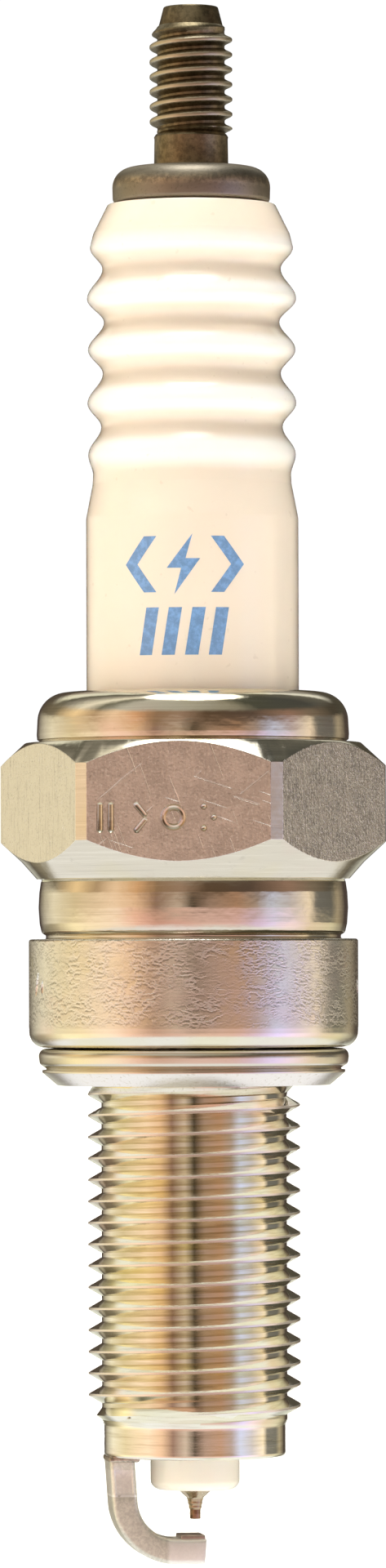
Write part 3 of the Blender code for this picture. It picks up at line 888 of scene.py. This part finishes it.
def hexagon_prism(across_flats, across_corners, low, high):
    """A hexagonal prism, corners to +X and -X, with a narrow flat bevelled along each upright edge."""
    deselect_all()
    sharp = across_flats / math.sqrt(3)
    bpy.ops.mesh.primitive_cylinder_add(
        vertices=6, radius=sharp * MM, depth=(high - low) * MM, location=(0, 0, (high + low) / 2 * MM),
        rotation=(0, 0, math.radians(30)),
    )
    obj = bpy.context.object
    rename(obj, "hexagon_prism")
    settle()
    trim = 2 * (sharp - across_corners / 2)
    for edge in obj.data.edges:
        ends = [obj.data.vertices[v].co for v in edge.vertices]
        edge.select = abs(ends[0].z - ends[1].z) > 0.5 * (high - low) * MM
    bpy.ops.object.mode_set(mode="EDIT")
    bpy.ops.mesh.select_mode(type="EDGE")
    bpy.ops.mesh.bevel(offset=trim * MM, segments=1, affect="EDGES")
    bpy.ops.mesh.select_mode(type="VERT")
    leave_edit()
    return obj


def groove(face, x0, z0, x1, z1):
    """A round-ended cutter along a line in the front flat."""
    deselect_all()
    bpy.ops.mesh.primitive_uv_sphere_add(segments=16, ring_count=8, radius=PUNCH_RADIUS * MM)
    obj = bpy.context.object
    stretch = (math.hypot(x1 - x0, z1 - z0) / 2 - 0.1) * MM
    for vertex in obj.data.vertices:
        vertex.co.z += stretch if vertex.co.z > 0 else -stretch
    place = Matrix.Translation(Vector(((x0 + x1) / 2, face - PUNCH_SINK, (z0 + z1) / 2)) * MM)
    obj.data.transform(place @ Matrix.Rotation(math.atan2(x1 - x0, z1 - z0), 4, "Y"))
    return obj


def punch_marks(across_flats, flange_radius):
    """Cutters for the plain signs in the front flat, bars, a bracket, a ring and dots, and for the flange's nicks."""
    face, middle, half = -across_flats / 2, PUNCH_MIDDLE, PUNCH_HALF
    cutters = [groove(face, x, middle - half, x, middle + half) for x in (-3.62, -3.12)]
    cutters += [groove(face, -1.98, middle + way * half, -1.52, middle + way * 0.07) for way in (1, -1)]
    deselect_all()
    bpy.ops.mesh.primitive_torus_add(
        location=Vector((-0.23, face - PUNCH_SINK, middle)) * MM, rotation=(math.pi / 2, 0, 0),
        major_radius=0.46 * MM, minor_radius=PUNCH_RADIUS * MM, major_segments=32, minor_segments=12,
    )
    settle()
    cutters.append(bpy.context.object)
    for x, z in ((1.16, half - 0.14), (1.16, 0.14 - half), (1.62, 0.0)):
        cutters.append(groove(face, x, middle + z - 0.1, x, middle + z + 0.1))
    for azimuth, height, length, lean in NICKS:
        deselect_all()
        bpy.ops.mesh.primitive_uv_sphere_add(segments=16, ring_count=10, radius=NICK_RADIUS * MM)
        nick = bpy.context.object
        nick.data.transform(Matrix.Diagonal((1, 1, length / (2 * NICK_RADIUS), 1)))
        nick.data.transform(Matrix.Rotation(lean, 4, "Y"))
        nick.data.transform(Matrix.Translation(Vector((0, -flange_radius - 0.04, height)) * MM))
        nick.data.transform(Matrix.Rotation(math.radians(azimuth), 4, "Z"))
        cutters.append(nick)
    only(cutters[0])
    for cutter in cutters[1:]:
        cutter.select_set(True)
    bpy.ops.object.join()
    return cutters[0]


def soften_hexagon(obj):
    """Bevels the hexagon's edges, which are the sharp ones between its chamfers."""
    only(obj)
    bpy.ops.object.mode_set(mode="EDIT")
    bpy.ops.mesh.select_mode(type="EDGE")
    bpy.ops.mesh.select_all(action="DESELECT")
    bpy.ops.mesh.edges_select_sharp(sharpness=math.radians(24))
    leave_edit()
    for edge in obj.data.edges:
        heights = [obj.data.vertices[v].co.z / MM for v in edge.vertices]
        edge.select = edge.select and all(HEX_BOTTOM + 0.1 < z < HEX_TOP - 0.1 for z in heights)
    bpy.ops.object.mode_set(mode="EDIT")
    bpy.ops.mesh.bevel(offset=0.07 * MM, segments=2, affect="EDGES", clamp_overlap=True)
    bpy.ops.mesh.select_mode(type="VERT")
    weld_mesh(CUT_WELD)
    leave_edit()


def shell_head(s):
    """The head of the shell, from the crimped lip down to the flange's lower face, over its wide bore."""
    lip, buckle, flange = (r / MM for r in (s.lip_radius, s.buckle_radius, s.flange_radius))
    top = high_mm("metal_shell").z
    peak = 9.6
    drop = CHAMFER * (peak - 8.0)
    outline = [
        (3.95, 3.25), (6.0, 5.30), (6.0, 16.97), (5.10, 17.35), (5.02, 17.55), (5.02, top - 0.10),
        (5.25, top - 0.02, 0.12, 3), (6.0, top), (lip - 0.10, top - 0.10, 1.35, 14), (lip - 0.02, 16.75, 0.8, 3),
        (lip, 16.4, 0.3, 2), (lip - 0.02, HEX_TOP + 0.16), (lip - 0.14, HEX_TOP + 0.08), (lip - 0.10, HEX_TOP + 0.01),
        (7.86, HEX_TOP, 0.15, 3), (peak, HEX_TOP - 0.13 - drop), (peak, HEX_BOTTOM + 0.74 + drop),
        (8.0, HEX_BOTTOM + 0.74), (7.32, HEX_BOTTOM - 0.03), (buckle + 0.02, HEX_BOTTOM + 0.03, 0.05, 2),
        (7.06, HEX_BOTTOM - 0.06, 0.06, 2), (7.13, 9.50, 0.1, 2), (7.205, 9.0, 0.8, 3), (buckle, 8.3, 0.9, 3),
        (7.19, 7.55, 0.6, 3), (7.09, 7.12, 0.2, 2), (6.90, 7.02, 0.05, 2), (6.90, FLANGE_TOP + 0.02, 0.05, 2),
        (7.05, FLANGE_TOP, 0.04, 2), (flange, FLANGE_TOP, 0.12, 4), (flange, 2.75), (flange - 0.012, 2.66),
        (flange - 0.012, FLANGE_BOTTOM, 0.72, 8), (3.95, FLANGE_BOTTOM),
    ]
    head = turn("shell_head", outline, closed=True)
    cut(head, hexagon_prism(s.across_flats / MM, s.across_corners / MM, FLANGE_BOTTOM - 2, top + 2), "INTERSECT")
    soften_hexagon(head)
    cut(head, punch_marks(s.across_flats / MM, flange))
    return head


def shell_barrel(s):
    """The threaded barrel with its plain end, closed by the stepped bore."""
    root, crest, end = (r / MM for r in (s.root_radius, s.crest_radius, s.end_radius))
    flank = (crest - root) * math.tan(math.radians(30))
    section = [(-0.04, crest), (0.04, crest), (0.04 + flank, root), (0.96 - flank, root)]
    neck = crest - 0.235
    thread = screw_thread(
        "shell_thread", section, THREAD_PITCH, THREAD_PHASE, THREAD_TOP, THREAD_END, root, (0.90, 0.45),
        collar=(neck, -0.34, -0.06),
    )
    lower = [
        (root, THREAD_END), (end, -15.80, 0.1, 2), (end, -15.95), (end, SHELL_END + 0.20), (end, SHELL_END, 0.16, 4),
        (end - 0.2, SHELL_END), (3.10, SHELL_END, 0.08, 2), (3.10, -7.7), (2.90, -7.4), (2.90, -5.8), (3.70, -5.0),
        (3.70, 3.0), (3.80, 3.0), (root, 2.5), (root, 1.0), (neck, THREAD_TOP),
    ]
    return join(turn("shell_tube", lower, seal=False), thread)


def shell_zone(centre, normal, flat):
    """Which of the shell's finishes a face takes: 0 bright, 1 flats, 2 crinkled, 3 thread, 4 bore."""
    radius = math.hypot(centre.x, centre.y)
    outward = (normal.x * centre.x + normal.y * centre.y) / max(radius, 0.01)
    if centre.z < THREAD_TOP + 0.6:
        return 4 if radius < 4.0 or outward < -0.5 else 3
    if radius < 6.02 and outward < -0.2:
        return 4
    if FLANGE_BOTTOM < centre.z < FLANGE_TOP - 0.02 and radius > 7.0:
        return 2
    sides = (math.radians(30 + 60 * k) for k in range(6))
    on_flat = any(abs(centre.x * math.cos(a) + centre.y * math.sin(a) - flat) < 0.08 for a in sides)
    return 1 if HEX_BOTTOM < centre.z < HEX_TOP and on_flat and abs(normal.z) < 0.6 else 0


class ShellOperator(bpy.types.Operator):
    """Make the plated shell: lip, hexagon, buckle zone, flange, thread, plain end and bore"""

    bl_idname = "spark_plug.shell"
    bl_label = "Metal shell"

    def execute(self, context):
        s = context.scene.plug_shell
        shell, barrel = shell_head(s), shell_barrel(s)
        apply_modifier(shell, "BOOLEAN", operation="UNION", solver="EXACT", object=barrel)
        bpy.data.objects.remove(barrel, do_unlink=True)
        rename(shell, "metal_shell_body")
        smooth(shell, 26)
        group = shell.vertex_groups.new(name="head")
        group.add([v.index for v in shell.data.vertices if v.co.z > 1.5 * MM], 1.0, "REPLACE")
        apply_modifier(shell, "WEIGHTED_NORMAL", keep_sharp=True, vertex_group="head")
        shell.vertex_groups.clear()
        tone = tuple(s.plating)
        flats = flat_finish(tuple(s.flat_tone))
        coat(shell, bright_plating(tone), flats, crinkled_plating(tone), thread_finish(), bore_finish())
        for face in shell.data.polygons:
            face.material_index = shell_zone(face.center / MM, face.normal, s.across_flats / MM / 2)
        hand_over(shell, "metal_shell")
        return {"FINISHED"}


class StudOperator(bpy.types.Operator):
    """Make the terminal stud with its thread, neck and round flange"""

    bl_idname = "spark_plug.stud"
    bl_label = "Terminal stud"

    def execute(self, context):
        s = context.scene.plug_stud
        root, crest, neck, flange = (r / MM for r in (s.root_radius, s.crest_radius, s.neck_radius, s.flange_radius))
        bottom, top = STUD_THREAD
        section = [
            (-0.17, crest - 0.07), (-0.10, crest - 0.012), (0.0, crest), (0.10, crest - 0.012), (0.17, crest - 0.07),
            (0.33, root + 0.06), (0.42, root), (0.58, root), (0.67, root + 0.06),
        ]
        thread = screw_thread(
            "stud_thread", section, STUD_PITCH, STUD_PHASE, top, bottom, root, (0.45, 0.2), STUD_STEPS
        )
        end = high_mm("terminal_stud").z
        upper = turn("stud_top", [(0, end), (1.27, end, 0.10, 4), (1.50, 49.62), (root, top)], STUD_STEPS, seal=False)
        outline = [
            (root, bottom), (1.66, 44.50), (1.74, 44.38, 0.04, 2), (neck - 0.02, 44.28), (neck, 43.1),
            (neck + 0.03, 42.95, 0.03, 2), (flange - 0.02, 42.93, 0.92, 12), (flange, 42.0),
            (flange - 0.02, 41.26, 0.24, 5), (1.5, 41.26), (1.5, 40.2), (0, 40.2),
        ]
        obj = join(turn("stud_low", outline, STUD_STEPS, seal=False), upper, thread)
        rename(obj, "terminal_stud_body")
        finish_piece(obj, 34, stud_finish(tuple(s.steel), tuple(s.flange_steel)), "terminal_stud")
        return {"FINISHED"}


class GasketOperator(bpy.types.Operator):
    """Turn the folded gasket"""

    bl_idname = "spark_plug.gasket"
    bl_label = "Gasket"

    def execute(self, context):
        s = context.scene.plug_gasket
        bead, foot = s.bead_radius / MM, s.foot_radius / MM
        outline = [
            (4.76, 1.75), (6.7, 1.75, 0.1, 2), (bead - 0.03, 1.72, 0.34, 7), (bead, 1.35, 0.3, 4),
            (bead - 0.05, 1.02, 0.2, 4), (6.93, 0.84, 0.06, 3), (6.86, 0.80, 0.03, 2), (6.93, 0.75, 0.03, 2),
            (7.09, 0.735, 0.02, 2), (7.08, 0.62, 0.05, 3), (foot + 0.02, 0.02, 0.06, 3), (4.76, 0.0, 0.16, 4),
            (4.76, 0.76), (6.4, 0.76), (6.4, 0.84), (4.76, 0.84),
        ]
        obj = turn("gasket_body", outline, closed=True)
        finish_piece(obj, 32, gasket_finish(tuple(s.plating)), "gasket")
        return {"FINISHED"}


class CentreElectrodeOperator(bpy.types.Operator):
    """Turn the centre electrode's cone, its weld and the fine wire tip"""

    bl_idname = "spark_plug.centre_electrode"
    bl_label = "Centre electrode"

    def execute(self, context):
        s = context.scene.plug_electrodes
        end = low_mm("centre_electrode").z
        sheath = [
            (0.65, -0.04), (1.46, -0.04), (1.46, -0.60), (1.04, -1.02), (1.04, -18.42, 0.1, 3),
            (0.86, -18.78, 0.08, 3), (0.40, end + 0.08, 0.15, 3), (0.365, end), (0, end), (0, -16.93), (0.65, -16.93),
        ]
        cone = turn("centre_electrode_body", sheath, SHEATH_STEPS, closed=True)
        finish_piece(cone, 30, cone_finish(tuple(s.cone)), "centre_electrode")
        bottom, top = low_mm("electrode_tip_weld").z, high_mm("electrode_tip_weld").z + 0.02
        ripples = [(0, top), (0.368, top)]
        for share in (step / 12 for step in range(1, 12)):
            ripple = 0.012 * math.cos(share * math.tau * 2.5)
            ripples.append((0.368 - 0.10 * share + ripple, top + (bottom - top) * share))
        weld = turn("electrode_tip_weld_body", [*ripples, (0.256, bottom), (0, bottom)], TIP_STEPS)
        finish_piece(weld, 50, tip_finish("tip_weld_metal", (0.50, 0.40, 0.27)), "electrode_tip_weld")
        wire = [
            (0, bottom), (0.25, bottom), (0.248, -19.93, 0.02, 2), (0.256, -19.96), (0.248, -19.99),
            (0.25, low_mm("electrode_tip").z, 0.05, 4), (0, low_mm("electrode_tip").z),
        ]
        tip = turn("electrode_tip_body", wire, TIP_STEPS)
        finish_piece(tip, 30, tip_finish("fine_wire_metal", tuple(s.wire)), "electrode_tip")
        return {"FINISHED"}


def bent_strap(level, thick, wide, bend):
    """The ground strap: a rounded bar drawn down from the shell, bent under the tip and cut off."""
    root = Vector((thick / 2 - 4.15, 0, SHELL_END - 0.10))
    run = root.z - (level + bend) + bend * math.sin(STRAP_LEAN)
    deselect_all()
    bpy.ops.mesh.primitive_plane_add(size=MM, location=root * MM)
    strap = bpy.context.object
    rename(strap, "ground_electrode_body")
    bpy.ops.transform.resize(value=(thick, wide, 1))
    settle()
    edit_all()
    bpy.ops.mesh.bevel(offset=0.22 * MM, segments=5, affect="VERTICES")
    slope = Vector((math.tan(STRAP_LEAN), 0, -1))
    for share in (0.12, 0.06, 0.30, 0.02, 0.26, 0.02, 0.12, 0.10):
        extrude(slope * run * share * MM)
    centre = Vector((root.x + run * math.tan(STRAP_LEAN) + bend * math.cos(STRAP_LEAN), 0, level + bend))
    bpy.ops.mesh.spin(steps=28, angle=math.pi / 2 - STRAP_LEAN, center=centre * MM, axis=(0, 1, 0))
    straight = STRAP_END - centre.x
    for share in (0.3, 0.3, 0.32):
        extrude((straight * share * MM, 0, 0))
    for out, shrink in ((0.05, 0.985), (0.025, 0.96), (0.005, 0.93)):
        extrude((straight * out * MM, 0, 0))
        bpy.ops.transform.resize(value=(1, shrink, shrink))
    weld_mesh()
    leave_edit()
    # Grip marks: the middle of both side faces is sunk a little
    for vertex in strap.data.vertices:
        x, y, z = vertex.co / MM
        if root.z - run * 0.82 < z < root.z - run * 0.16 and abs(abs(y) - wide / 2) < 0.01:
            vertex.co.y -= math.copysign(0.06, y) * MM
    strap.data.transform(Matrix.Rotation(STRAP_TURN, 4, "Z"))
    return strap


def rounded_block(name, place, sides, bevel, cuts=0):
    """A block with rounded edges, made uneven where it is cut up finer, and turned with the strap."""
    deselect_all()
    bpy.ops.mesh.primitive_cube_add(size=MM, location=Vector(place) * MM)
    block = bpy.context.object
    rename(block, name)
    bpy.ops.transform.resize(value=sides)
    settle()
    edit_all()
    bpy.ops.mesh.bevel(offset=bevel * MM, segments=4, affect="EDGES")
    if cuts:
        bpy.ops.mesh.select_all(action="SELECT")
        bpy.ops.mesh.subdivide(number_cuts=cuts, smoothness=0.3, fractal=0.06, seed=4)
    weld_mesh()
    leave_edit()
    block.data.transform(Matrix.Rotation(STRAP_TURN, 4, "Z"))
    return block


class GroundElectrodeOperator(bpy.types.Operator):
    """Draw and bend the ground strap, and add its root weld and its pad"""

    bl_idname = "spark_plug.ground_electrode"
    bl_label = "Ground electrode"

    def execute(self, context):
        s = context.scene.plug_electrodes
        thick, wide, bend = s.strap_thickness / MM, s.strap_width / MM, s.bend_radius / MM
        level = low_mm("electrode_tip").z - s.spark_gap / MM - PAD_PROUD - thick / 2
        strap = bent_strap(level, thick, wide, bend)
        finish_piece(strap, 35, nickel_finish(tuple(s.nickel)), "ground_electrode")
        place, sides = (-3.46, 0, SHELL_END - 0.08), (1.44, wide + 0.26, 0.30)
        weld = rounded_block("ground_electrode_weld_body", place, sides, 0.13, cuts=3)
        finish_piece(weld, 60, weld_finish((0.62, 0.54, 0.45)), "ground_electrode_weld")
        place, sides = (STRAP_END - 0.58, 0, level + thick / 2 + PAD_PROUD - 0.16), (1.15, wide - 0.42, 0.32)
        pad = rounded_block("ground_electrode_pad_body", place, sides, 0.07)
        finish_piece(pad, 40, tip_finish("pad_metal", (0.60, 0.52, 0.48)), "ground_electrode_pad")
        return {"FINISHED"}


class InnerPiecesOperator(bpy.types.Operator):
    """Finish the pieces that lie inside: seals, resistor, copper core and packing"""

    bl_idname = "spark_plug.inner_pieces"
    bl_label = "Inner pieces"

    def execute(self, context):
        # Colour, metallic, roughness, relief, whether the piece is round and smooth, and its nodes
        looks = {
            "glass_seal_fill": ((0.20, 0.15, 0.12), 0.2, 0.30, 0.010, False, "upper_glass_seal", "lower_glass_seal"),
            "resistor_fill": ((0.07, 0.07, 0.075), 0.0, 0.60, 0.020, False, "resistor"),
            "core_copper": ((0.80, 0.40, 0.25), 1.0, 0.28, 0.006, True, "electrode_copper_core"),
            "packing_steel": ((0.55, 0.55, 0.56), 1.0, 0.32, 0.006, True, "upper_packing_ring", "lower_packing_ring"),
            "pressed_talc": ((0.74, 0.73, 0.69), 0.0, 0.85, 0.030, False, "talc_filler"),
            "washer_steel": ((0.58, 0.57, 0.55), 1.0, 0.34, 0.006, True, "inner_seat_washer"),
        }
        for name, (tone, metallic, rough, relief, round_piece, *nodes) in looks.items():
            finish = inner_finish(name, tone, metallic, rough, relief)
            for piece in (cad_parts[node] for node in nodes):
                coat(piece, finish)
                if round_piece:
                    smooth(piece, 46)
        return {"FINISHED"}


# Stage

# Half angles of the softbox overhead, as gloss and as matt surfaces meet it
SOFTBOX_HALF = 17
WIDE_HALF = 31
SOFTBOX = (6.2, 6.1, 5.8)
# Light from straight below, and the white that the camera sees behind the plug
GROUND_GLOW = (0.98, 0.97, 0.95)
BACKDROP = (1.06, 1.06, 1.06)

# In metres, and the camera's rise and roll in radians
FLOOR_DROP = 0.025
FLOOR_SIDE = 12.0
CAMERA_HEIGHT = 0.0057
CAMERA_RISE = math.radians(1.254)
CAMERA_ROLL = math.radians(-0.17)
LAMP_AIM = (0, 0, 0.014)

# Cards round the plug, seen from above: the direction in degrees to the right of the camera, and the card's light
DOME = (
    (-180, (0.50, 0.42, 0.34)), (-166, (0.50, 0.42, 0.34)), (-157, (1.00, 0.97, 0.80)), (-149, (0.95, 0.92, 0.74)),
    (-142, (0.12, 0.11, 0.08)), (-125, (0.35, 0.32, 0.26)), (-100, (1.10, 1.02, 0.82)), (-82, (0.18, 0.17, 0.12)),
    (-60, (0.62, 0.59, 0.50)), (-5, (0.50, 0.47, 0.39)), (35, (0.34, 0.31, 0.24)), (55, (0.09, 0.09, 0.07)),
    (115, (0.08, 0.08, 0.07)), (146, (0.16, 0.15, 0.12)), (151, (1.00, 0.97, 0.84)), (157, (0.95, 0.92, 0.80)),
    (162, (0.34, 0.32, 0.28)), (180, (0.50, 0.42, 0.34)),
)
UPPER_CARDS = (
    (-168, (0.09, 0.07, 0.05)), (-130, (0.24, 0.20, 0.14)), (-100, (1.10, 0.80, 0.44)), (-80, (0.55, 0.38, 0.22)),
    (-62, (1.05, 0.75, 0.50)), (-44, (0.82, 0.47, 0.24)), (-28, (0.34, 0.21, 0.12)), (-10, (0.40, 0.26, 0.18)),
    (10, (0.13, 0.08, 0.05)), (45, (0.12, 0.08, 0.06)), (78, (0.34, 0.21, 0.15)), (104, (0.22, 0.17, 0.12)),
    (132, (0.08, 0.07, 0.05)),
)
MIDDLE_CARDS = (
    (-165, (0.08, 0.06, 0.05)), (-142, (0.70, 0.63, 0.49)), (-128, (1.00, 0.90, 0.68)), (-100, (0.86, 0.70, 0.44)),
    (-62, (1.15, 0.86, 0.62)), (-43, (1.00, 0.66, 0.43)), (-28, (0.34, 0.20, 0.15)), (-12, (0.69, 0.54, 0.43)),
    (0, (0.08, 0.06, 0.04)), (13, (0.44, 0.29, 0.22)), (33, (0.54, 0.31, 0.20)), (48, (0.50, 0.38, 0.34)),
    (60, (0.72, 0.76, 1.02)), (78, (0.70, 0.64, 0.68)), (97, (1.15, 0.95, 0.72)), (105, (0.20, 0.19, 0.17)),
    (126, (0.17, 0.16, 0.14)), (137, (0.46, 0.38, 0.26)), (155, (0.08, 0.06, 0.05)),
)
LOWER_CARDS = (
    (-175, (0.85, 0.85, 0.72)), (-160, (0.14, 0.12, 0.09)), (-135, (0.46, 0.40, 0.27)), (-104, (1.30, 1.12, 0.72)),
    (-60, (1.28, 1.02, 0.82)), (-44, (1.12, 0.70, 0.55)), (-28, (0.76, 0.46, 0.35)), (0, (0.90, 0.60, 0.51)),
    (32, (0.89, 0.57, 0.54)), (46, (0.85, 0.62, 0.82)), (64, (1.05, 0.92, 1.45)), (80, (1.22, 0.98, 1.12)),
    (102, (0.98, 0.80, 0.61)), (130, (0.82, 0.74, 0.53)), (158, (0.14, 0.12, 0.09)), (176, (0.85, 0.85, 0.72)),
)


def studio_light(camera_azimuth):
    """White to the camera. Reflections meet tinted cards round the plug and a softbox over it."""
    world = bpy.data.worlds.new("studio")
    bpy.context.scene.world = world
    world.use_nodes = True
    n = Nodes(world.node_tree)
    x, y, z = n.axes(n.node("ShaderNodeTexCoord", "Generated"))
    share = (x.math("ARCTAN2", y * -1) - camera_azimuth) / math.tau + 0.5

    def cards(stops):
        spots = [((angle + 180) / 360, tone) for angle, tone in stops]
        return n.node("ShaderNodeValToRGB", 0, {"stops": spots}, {0: share})

    light = n.coats(
        GROUND_GLOW,
        (n.step(z, -0.55, -0.38), cards(LOWER_CARDS)),
        (n.step(z, -0.17, -0.04), cards(MIDDLE_CARDS)),
        (n.step(z, 0.07, 0.19), cards(UPPER_CARDS)),
        (n.step(z, 0.33, 0.55), cards(DOME)),
    )
    matt = n.node("ShaderNodeLightPath", "Is Diffuse Ray")
    wide, narrow = (math.cos(math.radians(half)) for half in (WIDE_HALF, SOFTBOX_HALF))
    softbox = (n.step(z, wide - 0.03, wide + 0.03) * matt).top(n.step(z, narrow - 0.03, narrow + 0.03))
    shown = n.coats(light, (softbox, SOFTBOX), (n.node("ShaderNodeLightPath", "Is Camera Ray"), BACKDROP))
    background = n.node("ShaderNodeBackground", 0, {}, {0: shown, 1: 1.0})
    n.node("ShaderNodeOutputWorld", 0, {}, {0: background})


def soft_light(name, place, sides, power, tone):
    """A rectangular light aimed at the plug, seen by no glossy surface."""
    deselect_all()
    bpy.ops.object.light_add(type="AREA", location=place)
    lamp = bpy.context.object
    rename(lamp, name)
    lamp.data.shape = "RECTANGLE"
    lamp.data.size, lamp.data.size_y = sides
    lamp.data.energy = power
    lamp.data.color = tone
    lamp.rotation_euler = (Vector(LAMP_AIM) - Vector(place)).to_track_quat("-Z", "Y").to_euler()
    lamp.visible_glossy = False


def studio_camera(azimuth, distance, lens):
    """A level camera that looks slightly upwards."""
    out = Vector((math.sin(azimuth), -math.cos(azimuth), 0))
    bpy.ops.object.camera_add(location=out * distance + Vector((0, 0, CAMERA_HEIGHT)))
    camera = bpy.context.object
    rename(camera, "studio_camera")
    camera.data.lens = lens
    camera.data.sensor_width = 36.0
    camera.data.clip_start = 0.01
    camera.data.dof.use_dof = False
    ahead = Vector((0, 0, math.sin(CAMERA_RISE))) - out * math.cos(CAMERA_RISE)
    look = ahead.to_track_quat("-Z", "Y") @ Matrix.Rotation(CAMERA_ROLL, 3, "Z").to_quaternion()
    camera.rotation_euler = look.to_euler()
    bpy.context.scene.camera = camera


class StageOperator(bpy.types.Operator):
    """Set up the floor, the studio light and the camera"""

    bl_idname = "spark_plug.stage"
    bl_label = "Stage"

    def execute(self, context):
        s = context.scene.plug_stage
        deselect_all()
        bpy.ops.mesh.primitive_plane_add(size=FLOOR_SIDE, location=(0, 0, CAD_BOX[0][2] - FLOOR_DROP))
        floor = bpy.context.object
        rename(floor, "studio_floor")
        f = Finish("floor_paper", Roughness=0.85)
        paper = f.mix(f.noise(0.02, 3.0), tuple(s.floor), scaled(s.floor, 0.985))
        floor.data.materials.append(f.feed(Base_Color=paper))
        floor.visible_glossy = False
        studio_light(s.camera_azimuth)
        soft_light("key_softbox", (-0.45, -0.40, 0.25), (0.45, 0.45), 0.45, (1.0, 0.95, 0.88))
        soft_light("fill_softbox", (0.50, -0.40, 0.20), (0.45, 0.60), 0.20, (0.92, 0.96, 1.0))
        studio_camera(s.camera_azimuth, s.camera_distance, s.lens)
        context.scene.view_settings.view_transform = "Standard"
        return {"FINISHED"}


class PlugPanel(bpy.types.Panel):
    """Lists the plug's pieces"""

    bl_idname = "VIEW3D_PT_spark_plug"
    bl_label = "Spark plug"
    bl_space_type = "VIEW_3D"
    bl_region_type = "UI"
    bl_category = "Spark plug"

    def draw(self, context):
        for operator, group in PIECES:
            self.layout.operator(operator.bl_idname)
            settings = getattr(context.scene, group, None) if group else None
            if settings:
                box = self.layout.box()
                for name in type(settings).__annotations__:
                    box.prop(settings, name)


GROUPS = {
    "plug_insulator": InsulatorSettings,
    "plug_shell": ShellSettings,
    "plug_stud": StudSettings,
    "plug_gasket": GasketSettings,
    "plug_electrodes": ElectrodeSettings,
    "plug_stage": StageSettings,
}

PIECES = (
    (InsulatorOperator, "plug_insulator"),
    (PrintedMarkOperator, None),
    (ShellOperator, "plug_shell"),
    (StudOperator, "plug_stud"),
    (GasketOperator, "plug_gasket"),
    (CentreElectrodeOperator, "plug_electrodes"),
    (GroundElectrodeOperator, None),
    (InnerPiecesOperator, None),
    (StageOperator, "plug_stage"),
)


def register():
    for name, group in GROUPS.items():
        bpy.utils.register_class(group)
        setattr(bpy.types.Scene, name, bpy.props.PointerProperty(type=group))
    for operator, _ in PIECES:
        bpy.utils.register_class(operator)
    bpy.utils.register_class(PlugPanel)


def unregister():
    bpy.utils.unregister_class(PlugPanel)
    for operator, _ in reversed(PIECES):
        bpy.utils.unregister_class(operator)
    for name, group in reversed(list(GROUPS.items())):
        delattr(bpy.types.Scene, name)
        bpy.utils.unregister_class(group)


def main():
    register()
    for operator, _ in PIECES:
        group, name = operator.bl_idname.split(".")
        getattr(getattr(bpy.ops, group), name)()


if __name__ == "__main__":
    main()
